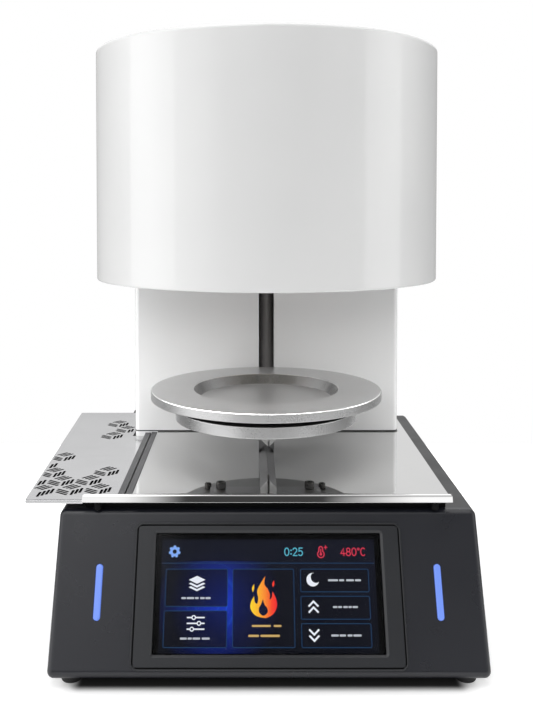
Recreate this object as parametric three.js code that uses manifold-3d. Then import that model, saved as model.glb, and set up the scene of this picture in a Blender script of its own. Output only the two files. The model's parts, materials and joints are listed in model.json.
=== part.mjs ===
// Dental lab furnace: a slanted control base, a polished work plate, a tower
// with a lift slot, and a round firing drum that the table rises into.
// Millimetres, +X to the right seen from the front, +Y to the back, +Z up.
import * as THREE from 'three';
import Module from 'manifold-3d';
import { mergeVertices } from 'three/addons/utils/BufferGeometryUtils.js';

const wasm = await Module();
wasm.setup();

// ---------------------------------------------------------------- dimensions
const GAP = 0.3;                 // clearance between neighbouring pieces

// base
const BASE_W = 310;              // width of the base
const BASE_Z0 = 5;               // underside of the base, above the feet
const BASE_Z1 = 108;             // top of the base cover
const BASE_BACK = 220;           // rear face of the base
const WALL = 2.6;                // wall of the base shell
const EDGE_R = 4.7;              // rounding of the base's side edges
const PANEL_Y = -130.8;          // the display window's lower edge
const PANEL_Z = 20.9;
const TILT = 26.8 * Math.PI / 180; // front panel, leaning back from vertical
const PANEL_DEPTH = 6.5;         // depth of the front panel piece

// display
const WIN_W = 164.4, WIN_H = 81.5;
const BEZEL_W = 194.6, BEZEL_H = 99, BEZEL_R = 5.5;
const LED_X = 122.4, LED_LEN = 38, LED_W = 4.8, LED_S = 41;

// feet
const FOOT_X = 139.5, FOOT_R = 8, FOOT_YF = -122.8, FOOT_YB = 196;

// work surface
const PLATE_TOP = 120.5, PLATE_T = 1.5;
const PLATE_X0 = -100.7, PLATE_X1 = 134, PLATE_FRONT = -86.7, PLATE_BACK = 212;
const LIP_X0 = -138, LIP_X1 = 137;
const BOARD_X0 = -136.5, BOARD_X1 = 133.5, BOARD_FRONT = -80;
const TRAY_TOP = 116.2, TRAY_T = 1.2;
const TRAY_BACK = 193.5;

// column
const COL_X = 2.1;               // the tower's middle
const COL_W = 248.2, COL_Y0 = 99, COL_Y1 = 205, COL_Z0 = 119, COL_TOP = 402;
const COL_T = 2, COL_R = 4.5, SLOT_W = 14.2;
const SHAFT_Y = 118;             // lead screw and guide rods

// drum
const DRUM_R = 138.6, DRUM_Z0 = 275, DRUM_Z1 = 458.7, DRUM_T = 1.6;
const MOUTH_R = 62, MUFFLE_R = 58;

// table
const TABLE_R = 95.7, TABLE_Z = 182.4, TABLE_T = 7.4;
const RECESS_R = 60.5, RECESS_R2 = 54.5, RECESS_D = 8;
const RING_R = 75.5, RING_Z0 = 157.9, RING_Z1 = 167.15;
const ARM_W = 13.6, ARM_TIP = 132.4;

// the bounding box's bottom centre is the origin
const OFF_X = 17.5, OFF_Y = -42.36, OFF_Z = 0;

// ------------------------------------------------------------------- helpers
const group = new THREE.Group();
group.name = 'dental_lab_furnace';

const toM = (g) => {
  let q = g.clone();
  q.deleteAttribute('normal');
  q.deleteAttribute('uv');
  q = mergeVertices(q, 1e-4);
  return new wasm.Manifold(new wasm.Mesh({
    numProp: 3,
    vertProperties: new Float32Array(q.attributes.position.array),
    triVerts: new Uint32Array(q.index.array),
  }));
};
const toG = (m) => {
  const k = m.getMesh();
  const g = new THREE.BufferGeometry();
  g.setAttribute('position', new THREE.BufferAttribute(new Float32Array(k.vertProperties), 3));
  g.setIndex(new THREE.BufferAttribute(new Uint32Array(k.triVerts), 1));
  g.computeVertexNormals();
  return g;
};
const cuboid = (x0, x1, y0, y1, z0, z1) =>
  toM(new THREE.BoxGeometry(x1 - x0, y1 - y0, z1 - z0)
    .translate((x0 + x1) / 2, (y0 + y1) / 2, (z0 + z1) / 2));
const rodZ = (r, x, y, z0, z1, n = 24) =>
  toM(new THREE.CylinderGeometry(r, r, z1 - z0, n).rotateX(Math.PI / 2)
    .translate(x, y, (z0 + z1) / 2));
const rodY = (r, x, z, y0, y1, n = 24) =>
  toM(new THREE.CylinderGeometry(r, r, y1 - y0, n).translate(x, (y0 + y1) / 2, z));
const lathe = (pts, n = 64) => {
  const g = new THREE.LatheGeometry(pts.map((p) => new THREE.Vector2(p[0], p[1])), n);
  g.rotateX(Math.PI / 2);
  return toM(g);
};
const poly = (pts) => new THREE.Shape(pts.map((p) => new THREE.Vector2(p[0], p[1])));
// rounded polygon: each point is [x, y, radius]
const roundPoly = (pts, steps = 3) => {
  const out = [];
  const n = pts.length;
  for (let i = 0; i < n; i++) {
    const p = new THREE.Vector2(pts[i][0], pts[i][1]);
    const a = new THREE.Vector2(pts[(i + n - 1) % n][0], pts[(i + n - 1) % n][1]);
    const b = new THREE.Vector2(pts[(i + 1) % n][0], pts[(i + 1) % n][1]);
    const r = pts[i][2] || 0;
    if (!r) { out.push([p.x, p.y]); continue; }
    const u = a.clone().sub(p).normalize();
    const v = b.clone().sub(p).normalize();
    const half = Math.acos(u.dot(v)) / 2;
    const t = r / Math.tan(half);
    const c = p.clone().add(u.clone().add(v).normalize().multiplyScalar(r / Math.sin(half)));
    const s = p.clone().addScaledVector(u, t).sub(c);
    const e = p.clone().addScaledVector(v, t).sub(c);
    let a0 = Math.atan2(s.y, s.x);
    let a1 = Math.atan2(e.y, e.x);
    while (a1 - a0 > Math.PI) a1 -= 2 * Math.PI;
    while (a1 - a0 < -Math.PI) a1 += 2 * Math.PI;
    for (let k = 0; k <= steps; k++) {
      const w = a0 + (a1 - a0) * k / steps;
      out.push([c.x + r * Math.cos(w), c.y + r * Math.sin(w)]);
    }
  }
  return poly(out);
};
const roundRect = (w, h, r, cx = 0, cy = 0, steps = 4) => roundPoly([
  [cx - w / 2, cy - h / 2, r], [cx + w / 2, cy - h / 2, r],
  [cx + w / 2, cy + h / 2, r], [cx - w / 2, cy + h / 2, r]], steps);
const slabZ = (shape, z0, z1) =>
  toM(new THREE.ExtrudeGeometry(shape, { depth: z1 - z0, bevelEnabled: false }).translate(0, 0, z0));
// a Y-Z profile carried along X
const YZX = new THREE.Matrix4().makeBasis(
  new THREE.Vector3(0, 1, 0), new THREE.Vector3(0, 0, 1), new THREE.Vector3(1, 0, 0));
const slabX = (shape, x0, x1) => toM(
  new THREE.ExtrudeGeometry(shape, { depth: x1 - x0, bevelEnabled: false })
    .translate(0, 0, x0).applyMatrix4(YZX));
// an X-Z profile carried along Y
const XZY = new THREE.Matrix4().makeBasis(
  new THREE.Vector3(1, 0, 0), new THREE.Vector3(0, 0, 1), new THREE.Vector3(0, -1, 0));
const slabY = (shape, y0, y1) => toM(
  new THREE.ExtrudeGeometry(shape, { depth: y1 - y0, bevelEnabled: false })
    .translate(0, 0, -y1).applyMatrix4(XZY));
// panel coordinates: x across, y up the slant from the window's lower edge, z outward
const PANEL = new THREE.Matrix4().makeBasis(
  new THREE.Vector3(1, 0, 0),
  new THREE.Vector3(0, Math.sin(TILT), Math.cos(TILT)),
  new THREE.Vector3(0, -Math.cos(TILT), Math.sin(TILT)));
PANEL.setPosition(0, PANEL_Y, PANEL_Z);
const slabP = (shape, d0, d1) => toM(
  new THREE.ExtrudeGeometry(shape, { depth: d1 - d0, bevelEnabled: false })
    .translate(0, 0, d0).applyMatrix4(PANEL));

const add = (name, m, mat) => {
  const g = m.isBufferGeometry ? m : toG(m);
  g.translate(OFF_X, OFF_Y, OFF_Z);
  const mesh = new THREE.Mesh(g, new THREE.MeshStandardMaterial(mat));
  mesh.name = name;
  group.add(mesh);
};

const CHARCOAL = { color: 0x2b2d31, roughness: 0.5, metalness: 0.2 };
const CHARCOAL_TOP = { color: 0x3c3d3f, roughness: 0.5, metalness: 0.2 };
const BLACK = { color: 0x111214, roughness: 0.6, metalness: 0 };
const RUBBER = { color: 0x0c0c0d, roughness: 0.9, metalness: 0 };
const STEEL = { color: 0xc9cacc, roughness: 0.18, metalness: 1 };
const ALU = { color: 0xb4b5b7, roughness: 0.32, metalness: 1 };
const WHITE = { color: 0xf3f3f2, roughness: 0.25, metalness: 0 };
const FIBRE = { color: 0xefe9dc, roughness: 0.95, metalness: 0 };
const GREY = { color: 0x5d5e60, roughness: 0.5, metalness: 0.6 };

// ---------------------------------------------------------------------- base
const slantY = (z) => PANEL_Y + (z - PANEL_Z) * Math.tan(TILT);
const basePts = (inset, r) => {
  const zc0 = BASE_Z0 + inset, zc1 = BASE_Z1 - inset;
  const sh = inset / Math.cos(TILT);
  return [
    [slantY(zc0) + sh, zc0, r], [BASE_BACK - inset, zc0, r],
    [BASE_BACK - inset, zc1, r], [slantY(zc1) + sh, zc1, r]];
};
const baseOuter = toM(new THREE.ExtrudeGeometry(roundPoly(basePts(0, 5), 3), {
  depth: BASE_W - 2 * EDGE_R, bevelEnabled: true, bevelThickness: EDGE_R,
  bevelSize: EDGE_R, bevelOffset: -EDGE_R, bevelSegments: 3,
}).translate(0, 0, -BASE_W / 2 + EDGE_R).applyMatrix4(YZX));
const baseInner = slabX(roundPoly(basePts(WALL, 0), 1), -BASE_W / 2 + WALL, BASE_W / 2 - WALL);
const baseShell = baseOuter.subtract(baseInner);

// front region: everything nearer the front than a plane parallel to the panel
const frontRegion = (d) => slabP(roundRect(400, 400, 0, 0, 50), -d, 60);
const WIN_S = WIN_H / 2;
const panelCut = slabP(roundRect(WIN_W + 8, WIN_H + 7.2, 2.5, 0, WIN_S), -10, 8);
const ledCut = (s) => slabP(roundRect(LED_W + 0.6, LED_LEN + 0.6, 2.6, s * LED_X, LED_S), -10, 8);
const frontPanel = baseShell.intersect(frontRegion(PANEL_DEPTH))
  .subtract(panelCut).subtract(ledCut(-1)).subtract(ledCut(1));
add('front_panel', frontPanel, CHARCOAL);

const behindFront = baseShell.subtract(frontRegion(PANEL_DEPTH + GAP));
const floorCut = cuboid(-200, 200, -200, 300, -5, 8.2);
const rearCut = cuboid(-200, 200, BASE_BACK - 3.2, 300, -5, 200);
const liftHole = cuboid(COL_X - 117, COL_X + 117, 103.5, 200.5, 100, 125);
const cover = behindFront.subtract(floorCut).subtract(rearCut).subtract(liftHole);
add('base_cover', cover, CHARCOAL_TOP);

const FAN_X = -72, FAN_Z = 56, INLET_X = 92, INLET_Z = 34, SW_X = 92, SW_Z = 68;
let rear = behindFront.intersect(cuboid(-200, 200, BASE_BACK - 2.9, 300, -5, 200));
for (let k = -3; k <= 3; k++) {
  const half = Math.sqrt(26 * 26 - (k * 7) ** 2);
  rear = rear.subtract(cuboid(FAN_X - half, FAN_X + half, 210, 230, FAN_Z + k * 7 - 2, FAN_Z + k * 7 + 2));
}
rear = rear.subtract(cuboid(INLET_X - 14.2, INLET_X + 14.2, 210, 230, INLET_Z - 10.6, INLET_Z + 10.6));
rear = rear.subtract(cuboid(SW_X - 11.6, SW_X + 11.6, 210, 230, SW_Z - 14.2, SW_Z + 14.2));
add('rear_panel', rear, CHARCOAL);

let pan = behindFront.intersect(cuboid(-200, 200, -200, BASE_BACK - 3.2, -5, 7.9));
const feet = [['front_left', -FOOT_X, FOOT_YF], ['front_right', FOOT_X, FOOT_YF],
  ['rear_left', -FOOT_X, FOOT_YB], ['rear_right', FOOT_X, FOOT_YB]];
for (const [, x, y] of feet) pan = pan.subtract(rodZ(3, x, y, 0, 12, 16));
add('base_pan', pan, CHARCOAL);
for (const [n, x, y] of feet) {
  const foot = lathe([[0, 0], [FOOT_R - 1, 0], [FOOT_R, 4.7], [2.7, 4.7], [2.7, 9.5], [0, 9.5]], 20)
    .translate([x, y, 0]);
  add('foot_' + n, foot, RUBBER);
}

// ------------------------------------------------------------------- display
const bezel = slabP(roundRect(BEZEL_W, BEZEL_H, BEZEL_R, 0, WIN_S - 1.6, 5), GAP, 1.9)
  .add(slabP(roundRect(WIN_W + 7.4, WIN_H + 6.6, 2.3, 0, WIN_S), -4.2, 1.0))
  .subtract(slabP(roundRect(WIN_W, WIN_H, 1, 0, WIN_S, 2), -20, 20));
add('display_bezel', bezel, BLACK);
add('display_glass', slabP(roundRect(WIN_W - 0.6, WIN_H - 0.6, 0.8, 0, WIN_S, 2), -2.6, -1.6),
  { color: 0x05070c, roughness: 0.06, metalness: 0 });
add('display_module', slabP(roundRect(WIN_W - 0.8, WIN_H - 0.8, 0.8, 0, WIN_S, 2), -9.2, -2.9),
  { color: 0x0a1233, roughness: 0.3, metalness: 0 });
for (const [n, s] of [['left', -1], ['right', 1]]) {
  add('led_bar_' + n, slabP(roundRect(LED_W, LED_LEN, 2.3, s * LED_X, LED_S), -4.5, 0.5),
    { color: 0x6f88f5, roughness: 0.3, metalness: 0 });
}

// -------------------------------------------------------------- work surface
const RUN_Y = [-48, 62];
let board = cuboid(BOARD_X0, BOARD_X1, BOARD_FRONT, PLATE_BACK, BASE_Z1 + GAP, PLATE_TOP - PLATE_T - GAP)
  .subtract(cuboid(-200, PLATE_X0, -200, 300, TRAY_TOP - TRAY_T - 0.4, 200))
  .subtract(liftHole);
for (const y of RUN_Y) board = board.subtract(cuboid(-200, 6, y - 5.5, y + 5.5, 110.4, 200));
add('sub_board', board, BLACK);

const lipShape = poly([[-86.9, PLATE_TOP], [-88.1, 119.9], [-88.9, 118.9], [-90.3, 114.9], [-88.9, 114.5],
  [-87.5, 118.3], [-86.9, PLATE_TOP - PLATE_T]]);
const lip = slabX(lipShape, LIP_X0, LIP_X1);
// cut out round the column, which stands on the board below
const CUT_X = COL_X + COL_W / 2 + GAP, CUT_Y0 = COL_Y0 - GAP, CUT_Y1 = COL_Y1 + GAP;
const plateShape = poly([[PLATE_X0, PLATE_FRONT - 0.3], [PLATE_X1, PLATE_FRONT - 0.3], [PLATE_X1, PLATE_BACK],
  [PLATE_X0, PLATE_BACK], [PLATE_X0, CUT_Y1], [CUT_X, CUT_Y1], [CUT_X, CUT_Y0], [PLATE_X0, CUT_Y0]]);
// sheet, bent-down lip and the lip's chamfered ends
const plate = slabZ(plateShape, PLATE_TOP - PLATE_T, PLATE_TOP).add(lip)
  .subtract(slabY(poly([[LIP_X1 - 3.4, 112], [LIP_X1 + 2, 112], [LIP_X1 + 2, 117.4]]), -95, -80))
  .subtract(slabY(poly([[LIP_X0 + 3.4, 112], [LIP_X0 - 2, 117.4], [LIP_X0 - 2, 112]]), -95, -80))
  .subtract(slabY(poly([[LIP_X1 - 3.2, 122], [LIP_X1 + 2, 117.2], [LIP_X1 + 2, 122]]), -95, -86.95))
  .subtract(slabY(poly([[LIP_X0 + 3.2, 122], [LIP_X0 - 2, 122], [LIP_X0 - 2, 117.2]]), -95, -80));
add('work_plate', plate, STEEL);
for (const [n, x] of [['left', -126.4], ['right', 124.3]]) {
  add('lip_bumper_' + n, rodZ(2.8, x, -86, 108.6, 114.1, 16), RUBBER);
}
add('plate_rail', cuboid(-106.2, -101.0, -85, 98.4, TRAY_TOP - TRAY_T - 0.1, 120.0)
  .subtract(cuboid(-108, -100, RUN_Y[0] - 5.5, RUN_Y[0] + 5.5, 100, 115.2))
  .subtract(cuboid(-108, -100, RUN_Y[1] - 5.5, RUN_Y[1] + 5.5, 100, 115.2)), GREY);

// side tray: a thin perforated sheet with turned-down outer edges
const trayEdge = (y) => -180.5 - 9.5 * (y + 86.2) / 279.7;
const trayShape = poly([[-180.5, -86.2], [-107, -86.2], [-107, 98.4], [-124, 98.4], [-124, TRAY_BACK],
  [-190, TRAY_BACK]]);
let tray = slabZ(trayShape, TRAY_TOP - TRAY_T, TRAY_TOP);
tray = tray.add(slabZ(poly([[-180.5, -86.2], [-138, -86.2], [-138, -84.8], [-180.3, -84.8]]), TRAY_TOP - 3.4, TRAY_TOP - 0.6));
// tumbling-block pattern: cells of three groups of slots, each group one face of a cube
const slots = [];
const slot = (x0, y0, x1, y1, w = 1.5) => {
  const lim = trayEdge(Math.min(y0, y1)) + 1.6;
  if (x0 < lim) { y0 += (y1 - y0) * (lim - x0) / (x1 - x0); x0 = lim; }
  const l = Math.hypot(x1 - x0, y1 - y0);
  const nx = -(y1 - y0) / l * w / 2, ny = (x1 - x0) / l * w / 2;
  slots.push(slabZ(poly([[x0 + nx, y0 + ny], [x0 - nx, y0 - ny], [x1 - nx, y1 - ny], [x1 + nx, y1 + ny]]), 110, 120));
};
const cell = (i, j, left, top, right) => {
  const x = -148.8 + 21.7 * i + 10.45 * j;
  const y = -75.6 + 1.7 * i + 24 * j;
  for (let k = 0; k < left; k++) slot(x - 12.5, y + 13.77 - 3.58 * k, x - 3.2, y + 7.07 - 3.58 * k);
  for (let k = 0; k < top; k++) {
    const t = 0.09 + 0.408 * k;
    slot(x - 9.9 + 7.1 * t, y + 18 - 4.6 * t, x - 3 + 7.1 * t, y + 25.5 - 4.6 * t);
  }
  for (const k of right) slot(x + 2.8 * k, y + 2.6 * k, x + 2.8 * k + 0.2, y + 2.6 * k + 10.9);
};
const R3 = [0, 1, 2];
for (const [i, j, left, top, right] of [
  [0, 0, 3, 3, R3], [1, 0, 3, 3, R3], [-1, 0, 0, 3, [-1, 0, 1, 2]],
  [0, 1, 3, 3, R3], [-1, 1, 3, 3, R3], [-2, 1, 0, 0, [1, 2]],
  [0, 2, 3, 3, R3], [-2, 2, 3, 3, R3], [-3, 3, 0, 0, [1, 2]],
  [-3, 4, 3, 3, R3], [-3, 7, 3, 3, R3], [-3, 8, 3, 3, [0, 1]], [-4, 9, 3, 3, R3],
]) cell(i, j, left, top, right);
tray = tray.subtract(wasm.Manifold.union(slots));
add('side_tray', tray, STEEL);
add('tray_rail', cuboid(-112.0, -106.8, -85, 96.2, TRAY_TOP + GAP, 120.0), GREY);
for (const [n, y] of [['front', RUN_Y[0]], ['rear', RUN_Y[1]]]) {
  add('tray_runner_' + n, cuboid(-168, -8, y - 4.9, y + 4.9, 111, TRAY_TOP - TRAY_T - GAP - 0.1), GREY);
}

// -------------------------------------------------------------------- column
const CX0 = COL_X - COL_W / 2, CX1 = COL_X + COL_W / 2;
const colShape = (inset, y1) => roundPoly([
  [CX0 + inset, COL_Y0 + inset, COL_R - inset], [CX1 - inset, COL_Y0 + inset, COL_R - inset],
  [CX1 - inset, y1, 0], [CX0 + inset, y1, 0]], 4);
const drumSpace = rodZ(DRUM_R + 0.8, 0, 0, DRUM_Z0 - 0.3, 500, 64);
// beside the plate the foot reaches down to the lower part of the board
let column = slabZ(colShape(0, COL_Y1), COL_Z0, COL_TOP)
  .add(slabZ(colShape(0, COL_Y1), 114.9, COL_Z0 + 1).intersect(cuboid(-200, -101, 0, 300, 100, 130)))
  .subtract(drumSpace)
  .subtract(slabZ(colShape(COL_T, COL_Y1 + 10), 110, COL_TOP - COL_T))
  .subtract(cuboid(COL_X - SLOT_W / 2, COL_X + SLOT_W / 2, 90, 103, 124, 300));
add('column_cover', column, WHITE);
let colBack = cuboid(CX0 + 2.6, CX1 - 2.6, 202.6, 204.6, COL_Z0 + 0.4, COL_TOP - COL_T - 0.4);
for (let k = 0; k < 6; k++) colBack = colBack.subtract(cuboid(COL_X - 45, COL_X + 45, 200, 210, 330 + k * 9, 333.5 + k * 9));
add('column_back', colBack, WHITE);

// lift gear inside the column
add('lift_frame', cuboid(COL_X - 62, COL_X + 62, 141, 144, 8.2, 392), GREY);
const rodHoles = (r, z0, z1) =>
  rodZ(r, COL_X - 36, SHAFT_Y, z0, z1, 16).add(rodZ(r, COL_X + 36, SHAFT_Y, z0, z1, 16));
add('upper_bearing_block', cuboid(COL_X - 50, COL_X + 50, 106, 140.7, 261, 271)
  .subtract(rodZ(7.5, COL_X, SHAFT_Y, 250, 280, 24)).subtract(rodHoles(5.3, 250, 280)), ALU);
add('lower_bearing_block', cuboid(COL_X - 50, COL_X + 50, 106, 140.7, 111, 122)
  .subtract(rodZ(7.5, COL_X, SHAFT_Y, 100, 130, 24)).subtract(rodHoles(5.3, 100, 130)), ALU);
for (const [n, x] of [['left', COL_X - 36], ['right', COL_X + 36]]) {
  add('guide_rod_' + n, rodZ(5, x, SHAFT_Y, 110.5, 270.6, 16), STEEL);
}
add('lead_screw', rodZ(6.9, COL_X, SHAFT_Y, 101, 270.4, 24), STEEL);
add('shaft_coupling', rodZ(11, COL_X, SHAFT_Y, 99.4, 110.4, 24).subtract(rodZ(7.3, COL_X, SHAFT_Y, 100.6, 120, 24)), ALU);
add('lift_motor', cuboid(COL_X - 21, COL_X + 21, SHAFT_Y - 21, SHAFT_Y + 21, 56, 97)
  .add(rodZ(11, COL_X, SHAFT_Y, 96, 98.8, 20)), BLACK);
add('drum_bracket', cuboid(-60, 60, 118, 140.7, 300, 380).subtract(rodZ(DRUM_R + 0.5, 0, 0, 290, 400, 64)), GREY);

// --------------------------------------------------------------------- table
const TB = TABLE_Z - TABLE_T;
add('firing_table', lathe([[0, 170], [66, 170], [66, TB], [TABLE_R - 0.9, TB], [TABLE_R, TB + 0.9],
  [TABLE_R, TABLE_Z - 1.1], [TABLE_R - 1.1, TABLE_Z], [RECESS_R, TABLE_Z],
  [RECESS_R2, TABLE_Z - RECESS_D], [0, TABLE_Z - RECESS_D]], 64), ALU);
add('table_ring', lathe([[0, RING_Z0], [RING_R - 0.8, RING_Z0], [RING_R, RING_Z0 + 0.8],
  [RING_R, RING_Z1 - 0.6], [RING_R - 0.6, RING_Z1], [0, RING_Z1]], 56), ALU);
for (let k = 0; k < 3; k++) {
  const a = Math.PI / 2 + k * 2 * Math.PI / 3;
  add('table_spacer_' + (k + 1), rodZ(6, 44 * Math.cos(a), 44 * Math.sin(a), RING_Z1 + 0.2, 169.8, 16), STEEL);
}
const BR_Z0 = 153.6, BR_Z1 = RING_Z0 - GAP;
add('bracket_plate', slabZ(roundRect(96, 72, 3), BR_Z0, BR_Z1), ALU);
for (const [n, x, y] of [['front_left', -38.6, -22], ['front_right', 38.6, -22],
  ['rear_left', -38.6, 31.3], ['rear_right', 38.6, 31.3]]) {
  add('table_bolt_' + n, lathe([[0, 147.8], [3.6, 147.8], [4.2, 148.4], [4.2, BR_Z0 - GAP], [0, BR_Z0 - GAP]], 12)
    .translate([x, y, 0]), GREY);
}
const arm = slabY(poly([[COL_X - ARM_W / 2, BR_Z0 - GAP], [COL_X - ARM_W / 2, 139.4], [COL_X, ARM_TIP],
  [COL_X + ARM_W / 2, 139.4], [COL_X + ARM_W / 2, BR_Z0 - GAP]]), -8, 105.2)
  .subtract(cuboid(COL_X - 0.8, COL_X + 0.8, -12, 10, 120, 150));
add('lift_arm', arm, ALU);
add('lift_carriage', cuboid(COL_X - 50, COL_X + 50, 105.5, 131, 128, 168)
  .subtract(rodZ(7.4, COL_X, SHAFT_Y, 120, 180, 24)).subtract(rodHoles(5.4, 120, 180)), ALU);
// ---------------------------------------------------------------------- drum
const R = DRUM_R, Z0 = DRUM_Z0, Z1 = DRUM_Z1, T = DRUM_T;
const closed = (p) => [...p, p[0]];
add('drum_shell', lathe(closed([[R - 9, Z0], [R - 1.2, Z0], [R, Z0 + 1.2], [R, Z1 - 3], [R - 0.9, Z1 - 0.9],
  [R - 3, Z1], [R - 12, Z1], [R - 12, Z1 - T], [R - T - 1.4, Z1 - T], [R - T, Z1 - T - 1.4],
  [R - T, Z0 + T], [R - 9, Z0 + T]]), 64), WHITE);
let lid = lathe([[0, Z1 - 2.2], [R - 12.4, Z1 - 2.2], [R - 12.4, Z1 - 0.4], [0, Z1 - 0.4]], 64);
for (let k = 0; k < 12; k++) {
  lid = lid.subtract(cuboid(62, 96, -1.6, 1.6, Z1 - 10, Z1 + 10).rotate([0, 0, k * 30 + 15]));
}
add('drum_lid', lid, WHITE);
add('drum_base_ring', lathe(closed([[MOUTH_R, 275.4], [75.7, 275.4], [75.7, 277.3], [82.3, 277.3], [82.3, 275.4],
  [R - 9.4, 275.4], [R - 9.4, 278.4], [MOUTH_R, 278.4]]), 48), STEEL);
add('chamber_seal', lathe(closed([[76, 274.3], [82, 274.3], [82, 277], [76, 277]]), 48),
  { color: 0xa8442e, roughness: 0.8, metalness: 0 });
add('muffle_wall', lathe(closed([[MUFFLE_R, 278.7], [97, 278.7], [97, 386], [MUFFLE_R, 386]]), 48), FIBRE);
add('muffle_top', lathe([[0, 386.3], [97, 386.3], [97, 410], [0, 410]], 48)
  .subtract(rodZ(2.9, 22, 0, 380, 420, 12)), FIBRE);
class Helix extends THREE.Curve {
  getPoint(t, o = new THREE.Vector3()) {
    const a = 2 * Math.PI * 5 * t;
    return o.set(53.2 * Math.cos(a), 53.2 * Math.sin(a), 296 + 76 * t);
  }
}
const wire = new THREE.Shape();
for (let k = 0; k < 6; k++) {
  const a = k * Math.PI / 3;
  if (k) wire.lineTo(1.9 * Math.cos(a), 1.9 * Math.sin(a));
  else wire.moveTo(1.9, 0);
}
add('heating_coil', toM(new THREE.ExtrudeGeometry(wire, { steps: 66, bevelEnabled: false, extrudePath: new Helix() })),
  { color: 0xc8c2b4, roughness: 0.5, metalness: 0.2 });
add('thermocouple', rodZ(2.3, 22, 0, 368, 428, 12).add(rodZ(5.5, 22, 0, 410.4, 428, 12)),
  { color: 0xe8e3d6, roughness: 0.7, metalness: 0 });

// ---------------------------------------------------- electrics in the base
let pcb = cuboid(-62, 62, -56, 30, 17, 18.6);
for (const [x, y] of [[-56, -50], [56, -50], [-56, 24], [56, 24]]) pcb = pcb.add(rodZ(3, x, y, 8.1, 17.2, 10));
pcb = pcb.add(cuboid(-20, 6, -30, -4, 18.5, 21)).add(cuboid(28, 54, -50, -20, 18.5, 30))
  .add(cuboid(-52, -34, -10, 20, 18.5, 26));
add('control_board', pcb, { color: 0x1d5a38, roughness: 0.6, metalness: 0 });
add('power_module', cuboid(72, 132, -6, 66, 8.2, 14).add(cuboid(78, 126, 0, 60, 13.5, 62)),
  { color: 0x55585c, roughness: 0.6, metalness: 0.4 });

const fanShape = roundRect(60, 60, 4, FAN_X, FAN_Z, 2);
let fanFrame = slabY(fanShape, 201.5, 216.4).subtract(rodY(27.6, FAN_X, FAN_Z, 190, 230, 32));
fanFrame = fanFrame.add(rodY(11, FAN_X, FAN_Z, 201.5, 203.4, 20));
for (let k = 0; k < 3; k++) {
  fanFrame = fanFrame.add(cuboid(0, 28.5, -1.6, 1.6, -0.95, 0.95).translate([0, 0, 0])
    .rotate([90, 0, 0]).rotate([0, k * 120 + 30, 0]).translate([FAN_X, 202.45, FAN_Z]));
}
add('fan_frame', fanFrame, BLACK);
let rotor = rodY(10.5, FAN_X, FAN_Z, 203.9, 214.5, 20);
for (let k = 0; k < 7; k++) {
  rotor = rotor.add(cuboid(8, 26.2, -4.2, 4.2, -0.8, 0.8).rotate([40, 0, 0])
    .rotate([0, k * 360 / 7, 0]).translate([FAN_X, 209.4, FAN_Z]));
}
add('fan_rotor', rotor, BLACK);
const inlet = cuboid(INLET_X - 13.8, INLET_X + 13.8, 200, 221, INLET_Z - 10.2, INLET_Z + 10.2)
  .add(cuboid(INLET_X - 17, INLET_X + 17, 220.3, 221.8, INLET_Z - 13, INLET_Z + 13))
  .subtract(cuboid(INLET_X - 11.8, INLET_X + 11.8, 206, 230, INLET_Z - 8, INLET_Z + 8))
  .add(cuboid(INLET_X - 1, INLET_X + 1, 205, 219, INLET_Z + 0.5, INLET_Z + 4.5))
  .add(cuboid(INLET_X - 8, INLET_X - 6, 205, 219, INLET_Z - 4, INLET_Z))
  .add(cuboid(INLET_X + 6, INLET_X + 8, 205, 219, INLET_Z - 4, INLET_Z));
add('power_inlet', inlet, BLACK);
const swHouse = cuboid(SW_X - 11.2, SW_X + 11.2, 204, 221, SW_Z - 13.8, SW_Z + 13.8)
  .add(cuboid(SW_X - 13, SW_X + 13, 220.3, 221.8, SW_Z - 16, SW_Z + 16))
  .subtract(cuboid(SW_X - 7.6, SW_X + 7.6, 208, 230, SW_Z - 11.4, SW_Z + 11.4));
add('switch_housing', swHouse, BLACK);
// rocker: two faces meeting in a shallow V, hinged across its middle, lying in its off position
add('power_switch', slabX(poly([[211.5, SW_Z - 10.2], [222.3, SW_Z - 10.2], [219.8, SW_Z], [222.3, SW_Z + 10.2],
  [211.5, SW_Z + 10.2], [209.6, SW_Z]]), SW_X - 7.2, SW_X + 7.2)
  .translate([0, -214, -SW_Z]).rotate([-6, 0, 0]).translate([0, 214, SW_Z]),
  { color: 0x8c1a17, roughness: 0.4, metalness: 0 });

export default group;
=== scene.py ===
"""Looks of the dental lab furnace: fine meshes, finishes, floor, light and camera.

Lengths in the piece code are millimetres in the object's own frame: X = 0 is the
middle of the housing, Y = 0 the axis of the round firing drum, Z = 0 the bench.
put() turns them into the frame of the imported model, in metres.
"""
import json
import math

import bpy
import bmesh
from mathutils import Matrix, Vector
from mathutils.geometry import tessellate_polygon

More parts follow.
